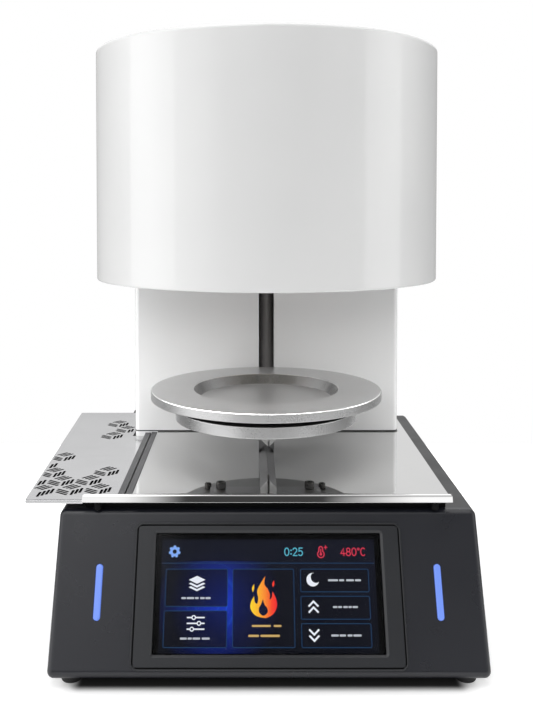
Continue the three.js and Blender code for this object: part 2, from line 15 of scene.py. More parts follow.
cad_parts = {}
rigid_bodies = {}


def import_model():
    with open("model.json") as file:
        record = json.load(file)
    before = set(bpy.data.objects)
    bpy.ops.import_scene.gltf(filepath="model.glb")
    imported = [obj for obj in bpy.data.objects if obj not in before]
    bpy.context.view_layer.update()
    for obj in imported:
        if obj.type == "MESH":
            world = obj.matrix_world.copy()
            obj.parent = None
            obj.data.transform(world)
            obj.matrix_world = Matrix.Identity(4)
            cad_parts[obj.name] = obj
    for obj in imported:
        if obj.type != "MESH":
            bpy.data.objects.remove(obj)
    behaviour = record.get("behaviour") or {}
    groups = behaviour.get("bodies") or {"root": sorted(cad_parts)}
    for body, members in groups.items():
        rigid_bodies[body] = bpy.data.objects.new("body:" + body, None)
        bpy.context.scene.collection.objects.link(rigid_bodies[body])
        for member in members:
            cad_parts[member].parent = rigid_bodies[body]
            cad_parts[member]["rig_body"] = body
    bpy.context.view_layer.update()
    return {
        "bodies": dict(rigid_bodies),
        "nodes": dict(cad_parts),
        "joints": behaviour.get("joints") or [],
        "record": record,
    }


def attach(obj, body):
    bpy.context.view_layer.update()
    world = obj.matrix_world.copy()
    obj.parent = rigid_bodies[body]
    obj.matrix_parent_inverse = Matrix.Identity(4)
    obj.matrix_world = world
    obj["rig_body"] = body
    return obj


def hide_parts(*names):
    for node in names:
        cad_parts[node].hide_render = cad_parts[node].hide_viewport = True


for leftover in list(bpy.data.objects):
    bpy.data.objects.remove(leftover)

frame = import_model()
nodes = frame["nodes"]

OX, OY = 17.5, -42.36
COL_X = 2.1  # the tower's middle
PI = math.pi


# =====================================================================
# geometry helpers
# =====================================================================
class Geo:
    """Vertices and faces in millimetres."""

    def __init__(self):
        self.v = []
        self.f = []
        self.m = []

    def vert(self, p):
        self.v.append(Vector(p))
        return len(self.v) - 1

    def ring(self, pts):
        return [self.vert(p) for p in pts]

    def face(self, idx, mat=0):
        self.f.append(list(idx))
        self.m.append(mat)

    def bridge(self, a, b, mat=0, closed=True):
        n = len(a)
        for k in range(n if closed else n - 1):
            k2 = (k + 1) % n
            self.face([a[k], a[k2], b[k2], b[k]], mat)

    def move(self, matrix):
        self.v = [matrix @ p for p in self.v]
        return self

    def merge(self, other):
        base = len(self.v)
        self.v += [p.copy() for p in other.v]
        self.f += [[base + i for i in f] for f in other.f]
        self.m += list(other.m)
        return self


def arc_path(pts, closed=True, steps=6):
    """Points [x, y, radius] as a path whose corners are rounded."""
    out = []
    n = len(pts)
    for i, q in enumerate(pts):
        r = q[2] if len(q) > 2 else 0
        s = q[3] if len(q) > 3 else steps
        p = Vector(q[:2])
        if not r or (not closed and i in (0, n - 1)):
            out.append(p)
            continue
        a = Vector(pts[i - 1][:2])
        b = Vector(pts[(i + 1) % n][:2])
        u, w = (a - p).normalized(), (b - p).normalized()
        half = math.acos(max(-1, min(1, u.dot(w)))) / 2
        t = r / math.tan(half)
        c = p + (u + w).normalized() * (r / math.sin(half))
        s0, s1 = p + u * t - c, p + w * t - c
        a0, a1 = math.atan2(s0.y, s0.x), math.atan2(s1.y, s1.x)
        while a1 - a0 > PI:
            a1 -= 2 * PI
        while a1 - a0 < -PI:
            a1 += 2 * PI
        for k in range(s + 1):
            t_ = a0 + (a1 - a0) * k / s
            out.append(Vector((c.x + r * math.cos(t_), c.y + r * math.sin(t_))))
    return out


def rect(w, h, r=0, cx=0, cy=0, steps=6):
    return arc_path([[cx - w / 2, cy - h / 2, r], [cx + w / 2, cy - h / 2, r],
                     [cx + w / 2, cy + h / 2, r], [cx - w / 2, cy + h / 2, r]], True, steps)


def box_loop(x0, x1, y0, y1, r=0, steps=6):
    return rect(x1 - x0, y1 - y0, r, (x0 + x1) / 2, (y0 + y1) / 2, steps)


def circle(r, n=64, cx=0, cy=0, a0=0.0):
    return [Vector((cx + r * math.cos(a0 + 2 * PI * k / n), cy + r * math.sin(a0 + 2 * PI * k / n)))
            for k in range(n)]


def area2(loop):
    return sum(loop[i - 1].x * loop[i].y - loop[i].x * loop[i - 1].y for i in range(len(loop)))


def ccw(loop, want=True):
    loop = [Vector((p[0], p[1])) for p in loop]
    return loop if (area2(loop) > 0) == want else loop[::-1]


def inset(loop, d):
    """Each vertex moved to the left of the travel by d, mitred."""
    if abs(d) < 1e-9:
        return [p.copy() for p in loop]
    out = []
    n = len(loop)
    for i in range(n):
        a, p, b = loop[i - 1], loop[i], loop[(i + 1) % n]
        u, w = (p - a), (b - p)
        if u.length < 1e-9:
            u = w
        if w.length < 1e-9:
            w = u
        u, w = u.normalized(), w.normalized()
        nu, nw = Vector((-u.y, u.x)), Vector((-w.y, w.x))
        m = (nu + nw) / max(0.3, 1 + nu.dot(nw))
        out.append(p + m * d)
    return out


def edge_profile(z0, z1, b0, b1, steps):
    """(inset, z) from the bottom face round to the top face."""
    prof = []
    if b0 > 0:
        for k in range(steps + 1):
            t = PI / 2 * k / steps
            prof.append((b0 * (1 - math.sin(t)), z0 + b0 * (1 - math.cos(t))))
    else:
        prof.append((0, z0))
    if b1 > 0:
        for k in range(steps + 1):
            t = PI / 2 * k / steps
            prof.append((b1 * (1 - math.cos(t)), z1 - b1 * (1 - math.sin(t))))
    else:
        prof.append((0, z1))
    return prof


def cap(geo, loops, z, mat=0):
    """Fills the region between an outer loop and its holes; loops are index lists."""
    pts = [[geo.v[i] for i in loop] for loop in loops]
    flat = [i for loop in loops for i in loop]
    for tri in tessellate_polygon(pts):
        geo.face([flat[t] for t in tri], mat)


def slab(outline, z0, z1, holes=(), b=0.3, b_top=None, b_bot=None, steps=4, prof=None,
         hole_prof=None, blind=(), mat=0, hole_b=None):
    """A plate with rounded edges. blind holds (loop, z_end): pockets open at the top."""
    g = Geo()
    bt = b if b_top is None else b_top
    bb = b if b_bot is None else b_bot
    prof = prof or edge_profile(z0, z1, bb, bt, steps)
    outer = ccw(outline)
    rings = [g.ring([(p.x, p.y, z) for p in inset(outer, d)]) for d, z in prof]
    for a, c in zip(rings, rings[1:]):
        g.bridge(a, c, mat)
    tops, bots = [rings[-1]], [rings[0]]
    hp = hole_prof or edge_profile(z0, z1, *( (bb, bt) if hole_b is None else (hole_b, hole_b)), steps)
    for h in holes:
        loop = ccw(h, False)
        hr = [g.ring([(p.x, p.y, z) for p in inset(loop, d)]) for d, z in hp]
        for a, c in zip(hr, hr[1:]):
            g.bridge(a, c, mat)
        tops.append(hr[-1])
        bots.append(hr[0])
    for h, z_end in blind:
        loop = ccw(h, False)
        hr = [g.ring([(p.x, p.y, z) for p in inset(loop, d)]) for d, z in ((0, z_end), (0, z1 - 0.2), (0.2, z1))]
        for a, c in zip(hr, hr[1:]):
            g.bridge(a, c, mat)
        g.face(hr[0], mat)
        tops.append(hr[-1])
    cap(g, tops, z1, mat)
    cap(g, bots, z0, mat)
    return g


def lathe(prof, n=192, cx=0.0, cy=0.0, closed=False, mat=0):
    """(r, z) turned round a vertical axis; an open profile ends on the axis."""
    g = Geo()
    rings = []
    for q in prof:
        r, z = q[0], q[1]
        if r < 1e-6:
            rings.append([g.vert((cx, cy, z))])
        else:
            rings.append(g.ring([(cx + r * math.cos(2 * PI * k / n), cy + r * math.sin(2 * PI * k / n), z)
                                 for k in range(n)]))
    pairs = list(zip(rings, rings[1:]))
    if closed:
        pairs.append((rings[-1], rings[0]))
    for a, b in pairs:
        if len(a) == 1 and len(b) == 1:
            continue
        for k in range(n):
            k2 = (k + 1) % n
            if len(a) == 1:
                g.face([a[0], b[k2], b[k]], mat)
            elif len(b) == 1:
                g.face([a[k], a[k2], b[0]], mat)
            else:
                g.face([a[k], a[k2], b[k2], b[k]], mat)
    return g


def turned(pts, n=192, cx=0.0, cy=0.0, closed=False, steps=5, mat=0):
    """lathe() of a profile of [r, z, rounding]."""
    return lathe([(p.x, p.y) for p in arc_path(pts, closed, steps)], n, cx, cy, closed, mat)


def tube(path, r, n=16, closed=False, mat=0):
    """A round bar along a path of points."""
    g = Geo()
    pts = [Vector(p) for p in path]
    count = len(pts)
    rings = []
    up = Vector((0, 0, 1))
    for i, p in enumerate(pts):
        a = pts[i - 1] if (i or closed) else pts[i]
        b = pts[(i + 1) % count] if (i < count - 1 or closed) else pts[i]
        t = (b - a).normalized()
        if abs(t.dot(up)) > 0.95:
            up = Vector((0, 1, 0))
        s = t.cross(up).normalized()
        w = s.cross(t)
        rings.append(g.ring([p + (s * math.cos(2 * PI * k / n) + w * math.sin(2 * PI * k / n)) * r for k in range(n)]))
    for a, b in zip(rings, rings[1:]):
        g.bridge(a, b, mat)
    if closed:
        g.bridge(rings[-1], rings[0], mat)
    else:
        g.face(rings[0][::-1], mat)
        g.face(rings[-1], mat)
    return g


def basis(x, y, z, at=(0, 0, 0)):
    m = Matrix.Identity(4)
    for i in range(3):
        m[i][0], m[i][1], m[i][2], m[i][3] = x[i], y[i], z[i], at[i]
    return m


YZX = basis((0, 1, 0), (0, 0, 1), (1, 0, 0))          # a Y-Z profile carried along X
XZY = basis((1, 0, 0), (0, 0, 1), (0, -1, 0))         # an X-Z profile carried towards the front
TILT = math.radians(26.8)
PANEL = basis((1, 0, 0), (0, math.sin(TILT), math.cos(TILT)), (0, -math.cos(TILT), math.sin(TILT)),
              (0, -130.8, 20.9))                      # x across, y up the slant, z outward
PUT = Matrix.Translation((OX / 1000, OY / 1000, 0)) @ Matrix.Scale(0.001, 4)


def soften(me, angle):
    """Smooth faces, with the edges sharper than angle kept crisp."""
    bm = bmesh.new()
    bm.from_mesh(me)
    bmesh.ops.remove_doubles(bm, verts=bm.verts, dist=2e-6)
    bmesh.ops.recalc_face_normals(bm, faces=bm.faces)
    lim = math.radians(angle)
    for f in bm.faces:
        f.smooth = True
    for e in bm.edges:
        e.smooth = len(e.link_faces) != 2 or e.calc_face_angle(0) < lim
    bm.to_mesh(me)
    bm.free()


def raw(name, geo):
    me = bpy.data.meshes.new(name)
    me.from_pydata([PUT @ p for p in geo.v], [], geo.f)
    me.polygons.foreach_set("material_index", geo.m)
    me.validate()
    ob = bpy.data.objects.new(name, me)
    bpy.context.scene.collection.objects.link(ob)
    return ob


def solid(name, geo):
    """A closed body for cutting, its faces turned out."""
    ob = raw(name, geo)
    soften(ob.data, 30)
    return ob


def apply_all(ob):
    dg = bpy.context.evaluated_depsgraph_get()
    me = bpy.data.meshes.new_from_object(ob.evaluated_get(dg))
    ob.modifiers.clear()
    old = ob.data
    ob.data = me
    bpy.data.meshes.remove(old)
    return ob


def cut(ob, tools, op="DIFFERENCE", keep=False):
    for t in tools:
        m = ob.modifiers.new("cut", "BOOLEAN")
        m.object = t
        m.operation = op
        m.solver = "EXACT"
    apply_all(ob)
    if not keep:
        for t in tools:
            bpy.data.objects.remove(t)
    return ob


def copy_of(ob, name):
    c = bpy.data.objects.new(name, ob.data.copy())
    bpy.context.scene.collection.objects.link(c)
    return c


def bevelled(ob, width, segments=2, angle=40):
    m = ob.modifiers.new("edge", "BEVEL")
    m.width = width / 1000
    m.segments = segments
    m.limit_method = "ANGLE"
    m.angle_limit = math.radians(angle)
    m.use_clamp_overlap = True
    m.miter_outer = "MITER_ARC"
    return apply_all(ob)


def put(name, geo, mats, node=None, body=None, angle=32, also=(), weighted=True):
    """Makes the shown piece: geo is a Geo or an object already made."""
    ob = geo if isinstance(geo, bpy.types.Object) else raw(name, geo)
    ob.name = name
    ob.data.name = name
    soften(ob.data, angle)
    ob.data.materials.clear()
    for m in (mats if isinstance(mats, (list, tuple)) else [mats]):
        ob.data.materials.append(m)
    if weighted:
        w = ob.modifiers.new("normals", "WEIGHTED_NORMAL")
        w.keep_sharp = True
        w.weight = 100
    stands = ([node] if node else []) + list(also)
    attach(ob, body or nodes[stands[0]]["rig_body"])
    if stands:
        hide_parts(*stands)
    return ob


# =====================================================================
# materials
# =====================================================================
class Mat:
    def __init__(self, name, **sockets):
        self.mat = bpy.data.materials.new(name)
        self.mat.use_nodes = True
        self.nt = self.mat.node_tree
        self.b = self.nt.nodes["Principled BSDF"]
        for k, v in sockets.items():
            self.set(k.replace("_", " "), v)
        self.tc = self.nt.nodes.new("ShaderNodeTexCoord")

    def set(self, name, v):
        s = self.b.inputs[name]
        s.default_value = (*v, 1) if isinstance(v, tuple) and len(v) == 3 and s.type == "RGBA" else v

    def node(self, kind, **props):
        n = self.nt.nodes.new(kind)
        for k, v in props.items():
            if k.startswith("i_"):
                n.inputs[k[2:].replace("_", " ")].default_value = v
            else:
                setattr(n, k, v)
        return n

    def link(self, a, b):
        self.nt.links.new(a, b)

    def coords(self, scale=(1, 1, 1), loc=(0, 0, 0), rot=(0, 0, 0)):
        mp = self.node("ShaderNodeMapping")
        mp.inputs["Scale"].default_value = scale
        mp.inputs["Location"].default_value = loc
        mp.inputs["Rotation"].default_value = rot
        self.link(self.tc.outputs["Object"], mp.inputs["Vector"])
        return mp.outputs["Vector"]

    def noise(self, scale, detail=3.0, rough=0.5, stretch=(1, 1, 1), dims="3D"):
        n = self.node("ShaderNodeTexNoise", noise_dimensions=dims)
        n.inputs["Scale"].default_value = scale
        n.inputs["Detail"].default_value = detail
        n.inputs["Roughness"].default_value = rough
        self.link(self.coords(stretch), n.inputs["Vector"])
        return n.outputs["Fac"]

    def ramp(self, fac, stops, interp="LINEAR"):
        r = self.node("ShaderNodeValToRGB")
        r.color_ramp.interpolation = interp
        e = r.color_ramp.elements
        while len(e) < len(stops):
            e.new(0.5)
        for el, (p, c) in zip(e, stops):
            el.position = p
            el.color = (*c, 1) if len(c) == 3 else c
        self.link(fac, r.inputs["Fac"])
        return r.outputs["Color"]

    def remap(self, fac, a, b, lo=0.3, hi=0.7):
        r = self.node("ShaderNodeMapRange")
        r.inputs["From Min"].default_value = lo
        r.inputs["From Max"].default_value = hi
        r.inputs["To Min"].default_value = a
        r.inputs["To Max"].default_value = b
        self.link(fac, r.inputs["Value"])
        return r.outputs["Result"]

    def math(self, op, a, b=None):
        n = self.node("ShaderNodeMath", operation=op)
        for i, x in enumerate((a, b)):
            if x is None:
                continue
            if isinstance(x, (int, float)):
                n.inputs[i].default_value = x
            else:
                self.link(x, n.inputs[i])
        return n.outputs[0]

    def color(self, out):
        self.link(out, self.b.inputs["Base Color"])
        return self

    def rough(self, out):
        self.link(out, self.b.inputs["Roughness"])
        return self

    def bump(self, height, strength, distance, after=None):
        n = self.node("ShaderNodeBump")
        n.inputs["Strength"].default_value = strength
        n.inputs["Distance"].default_value = distance
        self.link(height, n.inputs["Height"])
        if after is not None:
            self.link(after, n.inputs["Normal"])
        self.link(n.outputs["Normal"], self.b.inputs["Normal"])
        return n.outputs["Normal"]


def tint(c, k):
    return tuple(x * k for x in c)


def make_enamel():
    m = Mat("white_enamel", Roughness=0.3, Coat_Weight=0.8, Coat_Roughness=0.035, Specular_IOR_Level=0.45)
    big = m.noise(9, 2)
    m.color(m.ramp(big, [(0.35, (0.795, 0.797, 0.795)), (0.65, (0.825, 0.826, 0.822))]))
    return m.mat


def make_charcoal(name, base, rough=0.42, coat=0.0):
    m = Mat(name, Roughness=rough, Specular_IOR_Level=0.5)
    if coat:
        m.set("Coat Weight", coat)
        m.set("Coat Roughness", 0.3)
    grain = m.noise(2600, 2, 0.6)
    m.color(m.ramp(grain, [(0.3, tint(base, 0.88)), (0.7, tint(base, 1.12))]))
    m.rough(m.remap(m.noise(35, 3), rough - 0.03, rough + 0.04))
    m.bump(grain, 0.25, 0.00007)
    return m.mat


def make_black_plastic(name="black_plastic", base=(0.012, 0.012, 0.013), rough=0.5, grain=1800, strength=0.25, spec=0.5):
    m = Mat(name, Roughness=rough, Specular_IOR_Level=spec)
    g = m.noise(grain, 2, 0.55)
    m.color(m.ramp(g, [(0.3, tint(base, 0.8)), (0.7, tint(base, 1.25))]))
    m.rough(m.remap(m.noise(60, 3), rough - 0.05, rough + 0.06))
    m.bump(g, strength, 0.00006)
    return m.mat


def make_rubber():
    m = Mat("rubber", Roughness=0.75, Specular_IOR_Level=0.35)
    g = m.noise(1400, 4, 0.65)
    m.color(m.ramp(g, [(0.3, (0.010, 0.010, 0.010)), (0.7, (0.022, 0.022, 0.023))]))
    m.rough(m.remap(m.noise(120, 3), 0.66, 0.84))
    m.bump(g, 0.5, 0.00008)
    return m.mat


def make_mirror():
    """Polished sheet: faint lengthwise polishing lines and soft wiping marks."""
    m = Mat("polished_sheet", Metallic=1.0, Roughness=0.06)
    lines = m.noise(900, 2, 0.5, (0.02, 1, 1))
    smear = m.noise(14, 4, 0.6, (1, 0.6, 1))
    m.color(m.ramp(smear, [(0.3, (0.635, 0.634, 0.632)), (0.7, (0.660, 0.658, 0.655))]))
    m.rough(m.math("ADD", m.remap(smear, 0.018, 0.034), m.remap(lines, 0.0, 0.006)))
    m.bump(lines, 0.03, 0.00002)
    return m.mat


def make_brushed(name, base, rough=0.24, along="X", strength=0.14):
    m = Mat(name, Metallic=1.0, Roughness=rough)
    stretch = {"X": (0.015, 1, 1), "Y": (1, 0.015, 1), "Z": (1, 1, 0.015)}[along]
    lines = m.noise(1500, 3, 0.6, stretch)
    m.color(m.ramp(lines, [(0.3, tint(base, 0.93)), (0.7, tint(base, 1.05))]))
    m.rough(m.math("ADD", m.remap(lines, -0.03, 0.04), m.remap(m.noise(25, 3), rough - 0.03, rough + 0.03)))
    m.bump(lines, strength, 0.00003)
    return m.mat


def make_turned(name, base, rough=0.22, cx=OX / 1000, cy=OY / 1000, aniso=0.5, strength=0.12):
    """Lathe-turned metal: fine rings round the vertical axis at (cx, cy)."""
    m = Mat(name, Metallic=1.0, Roughness=rough, Anisotropic=aniso)
    v = m.coords((1, 1, 1), (-cx, -cy, 0))
    sep = m.node("ShaderNodeSeparateXYZ")
    m.link(v, sep.inputs[0])
    x2 = m.math("MULTIPLY", sep.outputs["X"], sep.outputs["X"])
    y2 = m.math("MULTIPLY", sep.outputs["Y"], sep.outputs["Y"])
    rad = m.math("SQRT", m.math("ADD", x2, y2))
    com = m.node("ShaderNodeCombineXYZ")
    m.link(rad, com.inputs["X"])
    m.link(sep.outputs["Z"], com.inputs["Y"])
    n = m.node("ShaderNodeTexNoise")
    n.inputs["Scale"].default_value = 1700
    n.inputs["Detail"].default_value = 3
    n.inputs["Roughness"].default_value = 0.6
    m.link(com.outputs[0], n.inputs["Vector"])
    g = n.outputs["Fac"]
    m.color(m.ramp(g, [(0.3, tint(base, 0.92)), (0.7, tint(base, 1.06))]))
    m.rough(m.math("ADD", m.remap(g, -0.03, 0.05), m.remap(m.noise(40, 3), rough - 0.02, rough + 0.04)))
    tan = m.node("ShaderNodeTangent", direction_type="RADIAL", axis="Z")
    m.link(tan.outputs[0], m.b.inputs["Tangent"])
    m.bump(g, strength, 0.00003)
    return m.mat


def make_satin(name, base, rough=0.38, metal=0.78):
    """Finely blasted metal: an even satin with a very fine grain and faint handling marks."""
    m = Mat(name, Metallic=metal, Roughness=rough)
    g = m.noise(2400, 2, 0.6)
    m.color(m.ramp(g, [(0.3, tint(base, 0.97)), (0.7, tint(base, 1.03))]))
    m.rough(m.math("ADD", m.remap(g, -0.02, 0.02), m.remap(m.noise(30, 3), rough - 0.015, rough + 0.02)))
    m.bump(g, 0.12, 0.00003)
    return m.mat


def make_fibre():
    m = Mat("ceramic_fibre", Roughness=0.95, Specular_IOR_Level=0.2)
    a, b = m.noise(260, 5, 0.7), m.noise(1600, 3, 0.6)
    m.color(m.ramp(a, [(0.25, (0.70, 0.66, 0.57)), (0.5, (0.82, 0.79, 0.71)), (0.75, (0.88, 0.86, 0.80))]))
    m.bump(m.math("ADD", a, m.math("MULTIPLY", b, 0.4)), 0.6, 0.0004)
    return m.mat


def make_quartz():
    m = Mat("quartz_tube", Roughness=0.18, IOR=1.46, Transmission_Weight=0.45, Coat_Weight=0.3, Coat_Roughness=0.1)
    g = m.noise(180, 3, 0.6)
    m.color(m.ramp(g, [(0.3, (0.72, 0.69, 0.62)), (0.7, (0.86, 0.84, 0.79))]))
    m.rough(m.remap(g, 0.12, 0.3))
    m.bump(m.noise(900, 2), 0.1, 0.00005)
    return m.mat


def make_silicone():
    m = Mat("seal_silicone", Roughness=0.55, Subsurface_Weight=0.15)
    m.set("Subsurface Radius", (0.002, 0.0008, 0.0006))
    g = m.noise(700, 3, 0.6)
    m.color(m.ramp(g, [(0.3, (0.30, 0.045, 0.022)), (0.7, (0.42, 0.075, 0.035))]))
    m.bump(g, 0.3, 0.00008)
    return m.mat


def make_zinc():
    m = Mat("zinc_steel", Metallic=1.0, Roughness=0.34)
    vor = m.node("ShaderNodeTexVoronoi")
    vor.inputs["Scale"].default_value = 90
    m.link(m.coords(), vor.inputs["Vector"])
    m.color(m.ramp(vor.outputs["Color"], [(0.2, (0.44, 0.45, 0.46)), (0.8, (0.60, 0.61, 0.62))]))
    m.rough(m.remap(vor.outputs["Distance"], 0.27, 0.42, 0.0, 0.8))
    m.bump(m.noise(900, 2), 0.06, 0.00004)
    return m.mat


def make_board():
    m = Mat("circuit_board", Roughness=0.4, Coat_Weight=0.4, Coat_Roughness=0.15)
    br = m.node("ShaderNodeTexBrick")
    br.inputs["Scale"].default_value = 260
    br.inputs["Color1"].default_value = (0.008, 0.075, 0.032, 1)
    br.inputs["Color2"].default_value = (0.010, 0.10, 0.042, 1)
    br.inputs["Mortar"].default_value = (0.02, 0.18, 0.08, 1)
    br.inputs["Mortar Size"].default_value = 0.012
    m.link(m.coords(), br.inputs["Vector"])
    m.color(br.outputs["Color"])
    m.bump(br.outputs["Fac"], 0.2, 0.00005)
    return m.mat


def make_emit(name, color, strength=1.0, base=(0.0, 0.0, 0.0), rough=0.4):
    m = Mat(name, Roughness=rough, Specular_IOR_Level=0.2)
    m.set("Base Color", base)
    m.set("Emission Color", color)
    m.set("Emission Strength", strength)
    return m


ENAMEL = make_enamel()
CHARCOAL = make_charcoal("charcoal_panel", (0.0092, 0.0099, 0.0138), 0.29)
CHARCOAL_COVER = make_charcoal("charcoal_cover", (0.018, 0.0185, 0.020), 0.38)
BEZEL = make_charcoal("black_bezel", (0.010, 0.011, 0.0135), 0.36)
BLACK = make_black_plastic("black_board", (0.003, 0.003, 0.0032), 0.6, 1200, 0.2, 0.12)
PLASTIC = make_black_plastic("black_plastic", (0.013, 0.013, 0.014), 0.45)
RUBBER = make_rubber()
MIRROR = make_mirror()
TRAY = make_brushed("tray_sheet", (0.62, 0.62, 0.63), 0.2, "X", 0.08)
RAIL = make_brushed("rail_grey", (0.135, 0.135, 0.14), 0.4, "Y", 0.1)
ZINC = make_zinc()
ALU = make_satin("turned_aluminium", (0.52, 0.52, 0.52), 0.36, 0.84)
# partly a finer turned finish with lower roughness, partly painted light: its tone sets how bright the rim sides look
ALU_RIM_PAINTED_TONE = make_satin("turned_rim_painted_tone", (0.58, 0.58, 0.58), 0.28, 0.9)
# painted highlight: a near-white copy of the metal for the rounded top edges of table and ring
ALU_BEVEL_HIGHLIGHT = make_satin("bevel_painted_highlight", (0.97, 0.97, 0.965), 0.22, 1.0)
# painted shade: a darker copy of the metal for the walls of the recess
ALU_RECESS_SHADE = make_satin("recess_painted_shade", (0.36, 0.36, 0.36), 0.28, 0.95)
# painted shade: a near-black copy of the metal for the faces in the gap between table and ring
ALU_GAP_SHADE = make_satin("gap_painted_shade", (0.022, 0.021, 0.02), 0.6, 0.3)
# painted highlight: a near-white copy of the metal for the arm's front faces
ALU_TIP_HIGHLIGHT = make_satin("tip_painted_highlight", (0.93, 0.92, 0.91), 0.34, 0.3)
ALU_FLAT = make_brushed("milled_aluminium", (0.62, 0.62, 0.63), 0.3, "X", 0.16)
SCREW = make_satin("screw_steel", (0.36, 0.35, 0.345), 0.5, 0.35)
BOLT = make_brushed("bolt_steel", (0.16, 0.155, 0.15), 0.22, "Z", 0.08)
SCREW_PLAIN = make_brushed("pin_steel", (0.55, 0.55, 0.56), 0.24, "Z", 0.08)
MOTOR = make_black_plastic("motor_black", (0.016, 0.016, 0.017), 0.4, 900, 0.2)
SEAL = make_silicone()
FIBRE = make_fibre()
QUARTZ = make_quartz()
BOARD = make_board()


def make_sheath():
    m = Mat("sheath_ceramic", Roughness=0.5)
    g = m.noise(500, 3)
    m.color(m.ramp(g, [(0.3, (0.72, 0.68, 0.6)), (0.7, (0.82, 0.79, 0.72))]))
    m.rough(m.remap(g, 0.42, 0.6))
    m.bump(g, 0.2, 0.00008)
    return m.mat


def make_switch():
    m = Mat("switch_red", Roughness=0.3, Coat_Weight=0.4, Coat_Roughness=0.1)
    g = m.noise(900, 2)
    m.color(m.ramp(g, [(0.3, (0.24, 0.012, 0.010)), (0.7, (0.30, 0.018, 0.013))]))
    m.rough(m.remap(g, 0.26, 0.36))
    m.bump(g, 0.08, 0.00005)
    return m.mat


def make_glass():
    m = Mat("display_glass", Roughness=0.03, IOR=1.18, Transmission_Weight=1.0)
    m.color(m.ramp(m.noise(6, 2), [(0.3, (0.93, 0.95, 0.98)), (0.7, (0.96, 0.97, 1.0))]))
    m.rough(m.remap(m.noise(20, 3), 0.02, 0.05))
    return m.mat


SHEATH = make_sheath()
SWITCH = make_switch()
GLASS = make_glass()

# =====================================================================
# base housing
# =====================================================================
BASE_W, BASE_Z0, BASE_Z1, BASE_BACK = 310.0, 5.0, 108.0, 220.0
WALL, EDGE_R, DEPTH = 2.6, 4.7, 6.5
WIN_W, WIN_H = 164.4, 81.5
WIN_S = WIN_H / 2


def slant_y(z):
    return -130.8 + (z - 20.9) * math.tan(TILT)


def base_loop(d, r, steps=8):
    z0, z1, sh = BASE_Z0 + d, BASE_Z1 - d, d / math.cos(TILT)
    return arc_path([[slant_y(z0) + sh, z0, r], [BASE_BACK - d, z0, r],
                     [BASE_BACK - d, z1, r], [slant_y(z1) + sh, z1, r]], True, steps)


def cube(x0, x1, y0, y1, z0, z1):
    return slab(box_loop(x0, x1, y0, y1), z0, z1, b=0)


def panel_slab(loop, d0, d1, **kw):
    return slab(loop, d0, d1, **kw).move(PANEL)


shell = solid("shell", slab(base_loop(0, 5), -BASE_W / 2, BASE_W / 2, b=EDGE_R, steps=8).move(YZX))
cut(shell, [solid("t", slab(base_loop(WALL, 0), -BASE_W / 2 + WALL, BASE_W / 2 - WALL, b=0).move(YZX))])

front = copy_of(shell, "front")
cut(front, [solid("t", panel_slab(rect(400, 400, 0, 0, 50), -DEPTH, 60, b=0))], "INTERSECT")
cut(front, [solid("t", panel_slab(rect(WIN_W + 8, WIN_H + 7.2, 2.5, 0, WIN_S), -10, 8, b=0)),
            solid("t", panel_slab(rect(5.4, 38.6, 2.65, -122.4, 41, 8), -10, 8, b=0)),
            solid("t", panel_slab(rect(5.4, 38.6, 2.65, 122.4, 41, 8), -10, 8, b=0))])
put("front_panel_fine", front, CHARCOAL, "front_panel", angle=28)

behind = shell
cut(behind, [solid("t", panel_slab(rect(400, 400, 0, 0, 50), -(DEPTH + 0.3), 60, b=0))])
cover = copy_of(behind, "cover")
cut(cover, [solid("t", cube(-200, 200, -200, 300, -5, 8.2)),
            solid("t", cube(-200, 200, BASE_BACK - 3.2, 300, -6, 200)),
            solid("t", cube(COL_X - 117, COL_X + 117, 103.5, 200.5, 100, 125))])
put("base_cover_fine", cover, CHARCOAL_COVER, "base_cover", angle=28)

FAN_X, FAN_Z, INLET_X, INLET_Z, SW_X, SW_Z = -72, 56, 92, 34, 92, 68
rear = copy_of(behind, "rear")
cut(rear, [solid("t", cube(-200, 200, BASE_BACK - 2.9, 300, -5, 200))], "INTERSECT")
tools = []
for k in range(-3, 4):
    half = math.sqrt(26 * 26 - (k * 7) ** 2)
    tools.append(solid("t", slab(rect(2 * half, 4, 1.9, FAN_X, FAN_Z + k * 7, 6), -230, -210, b=0).move(XZY)))
tools.append(solid("t", cube(INLET_X - 14.2, INLET_X + 14.2, 210, 230, INLET_Z - 10.6, INLET_Z + 10.6)))
tools.append(solid("t", cube(SW_X - 11.6, SW_X + 11.6, 210, 230, SW_Z - 14.2, SW_Z + 14.2)))
cut(rear, tools)
put("rear_panel_fine", rear, CHARCOAL, "rear_panel", angle=28)

pan = behind
cut(pan, [solid("t", cube(-200, 200, -200, BASE_BACK - 3.2, -5, 7.9))], "INTERSECT")
FOOT_X, FOOT_YF, FOOT_YB = 139.5, -122.8, 196
FEET = [("front_left", -FOOT_X, FOOT_YF), ("front_right", FOOT_X, FOOT_YF),
        ("rear_left", -FOOT_X, FOOT_YB), ("rear_right", FOOT_X, FOOT_YB)]
cut(pan, [solid("t", slab(circle(3, 24, x, y), 0, 12, b=0)) for _, x, y in FEET])
put("base_pan_fine", pan, CHARCOAL, "base_pan", angle=28)
for n, x, y in FEET:
    put("foot_%s_fine" % n, turned([[0, 0], [6.6, 0, 0.4], [7.2, 0.9, 0.3], [7.0, 1.3, 0.2], [8, 4.7, 0.5], [2.7, 4.7],
                                    [2.7, 9.5], [0, 9.5]], 48, x, y), RUBBER, "foot_" + n)

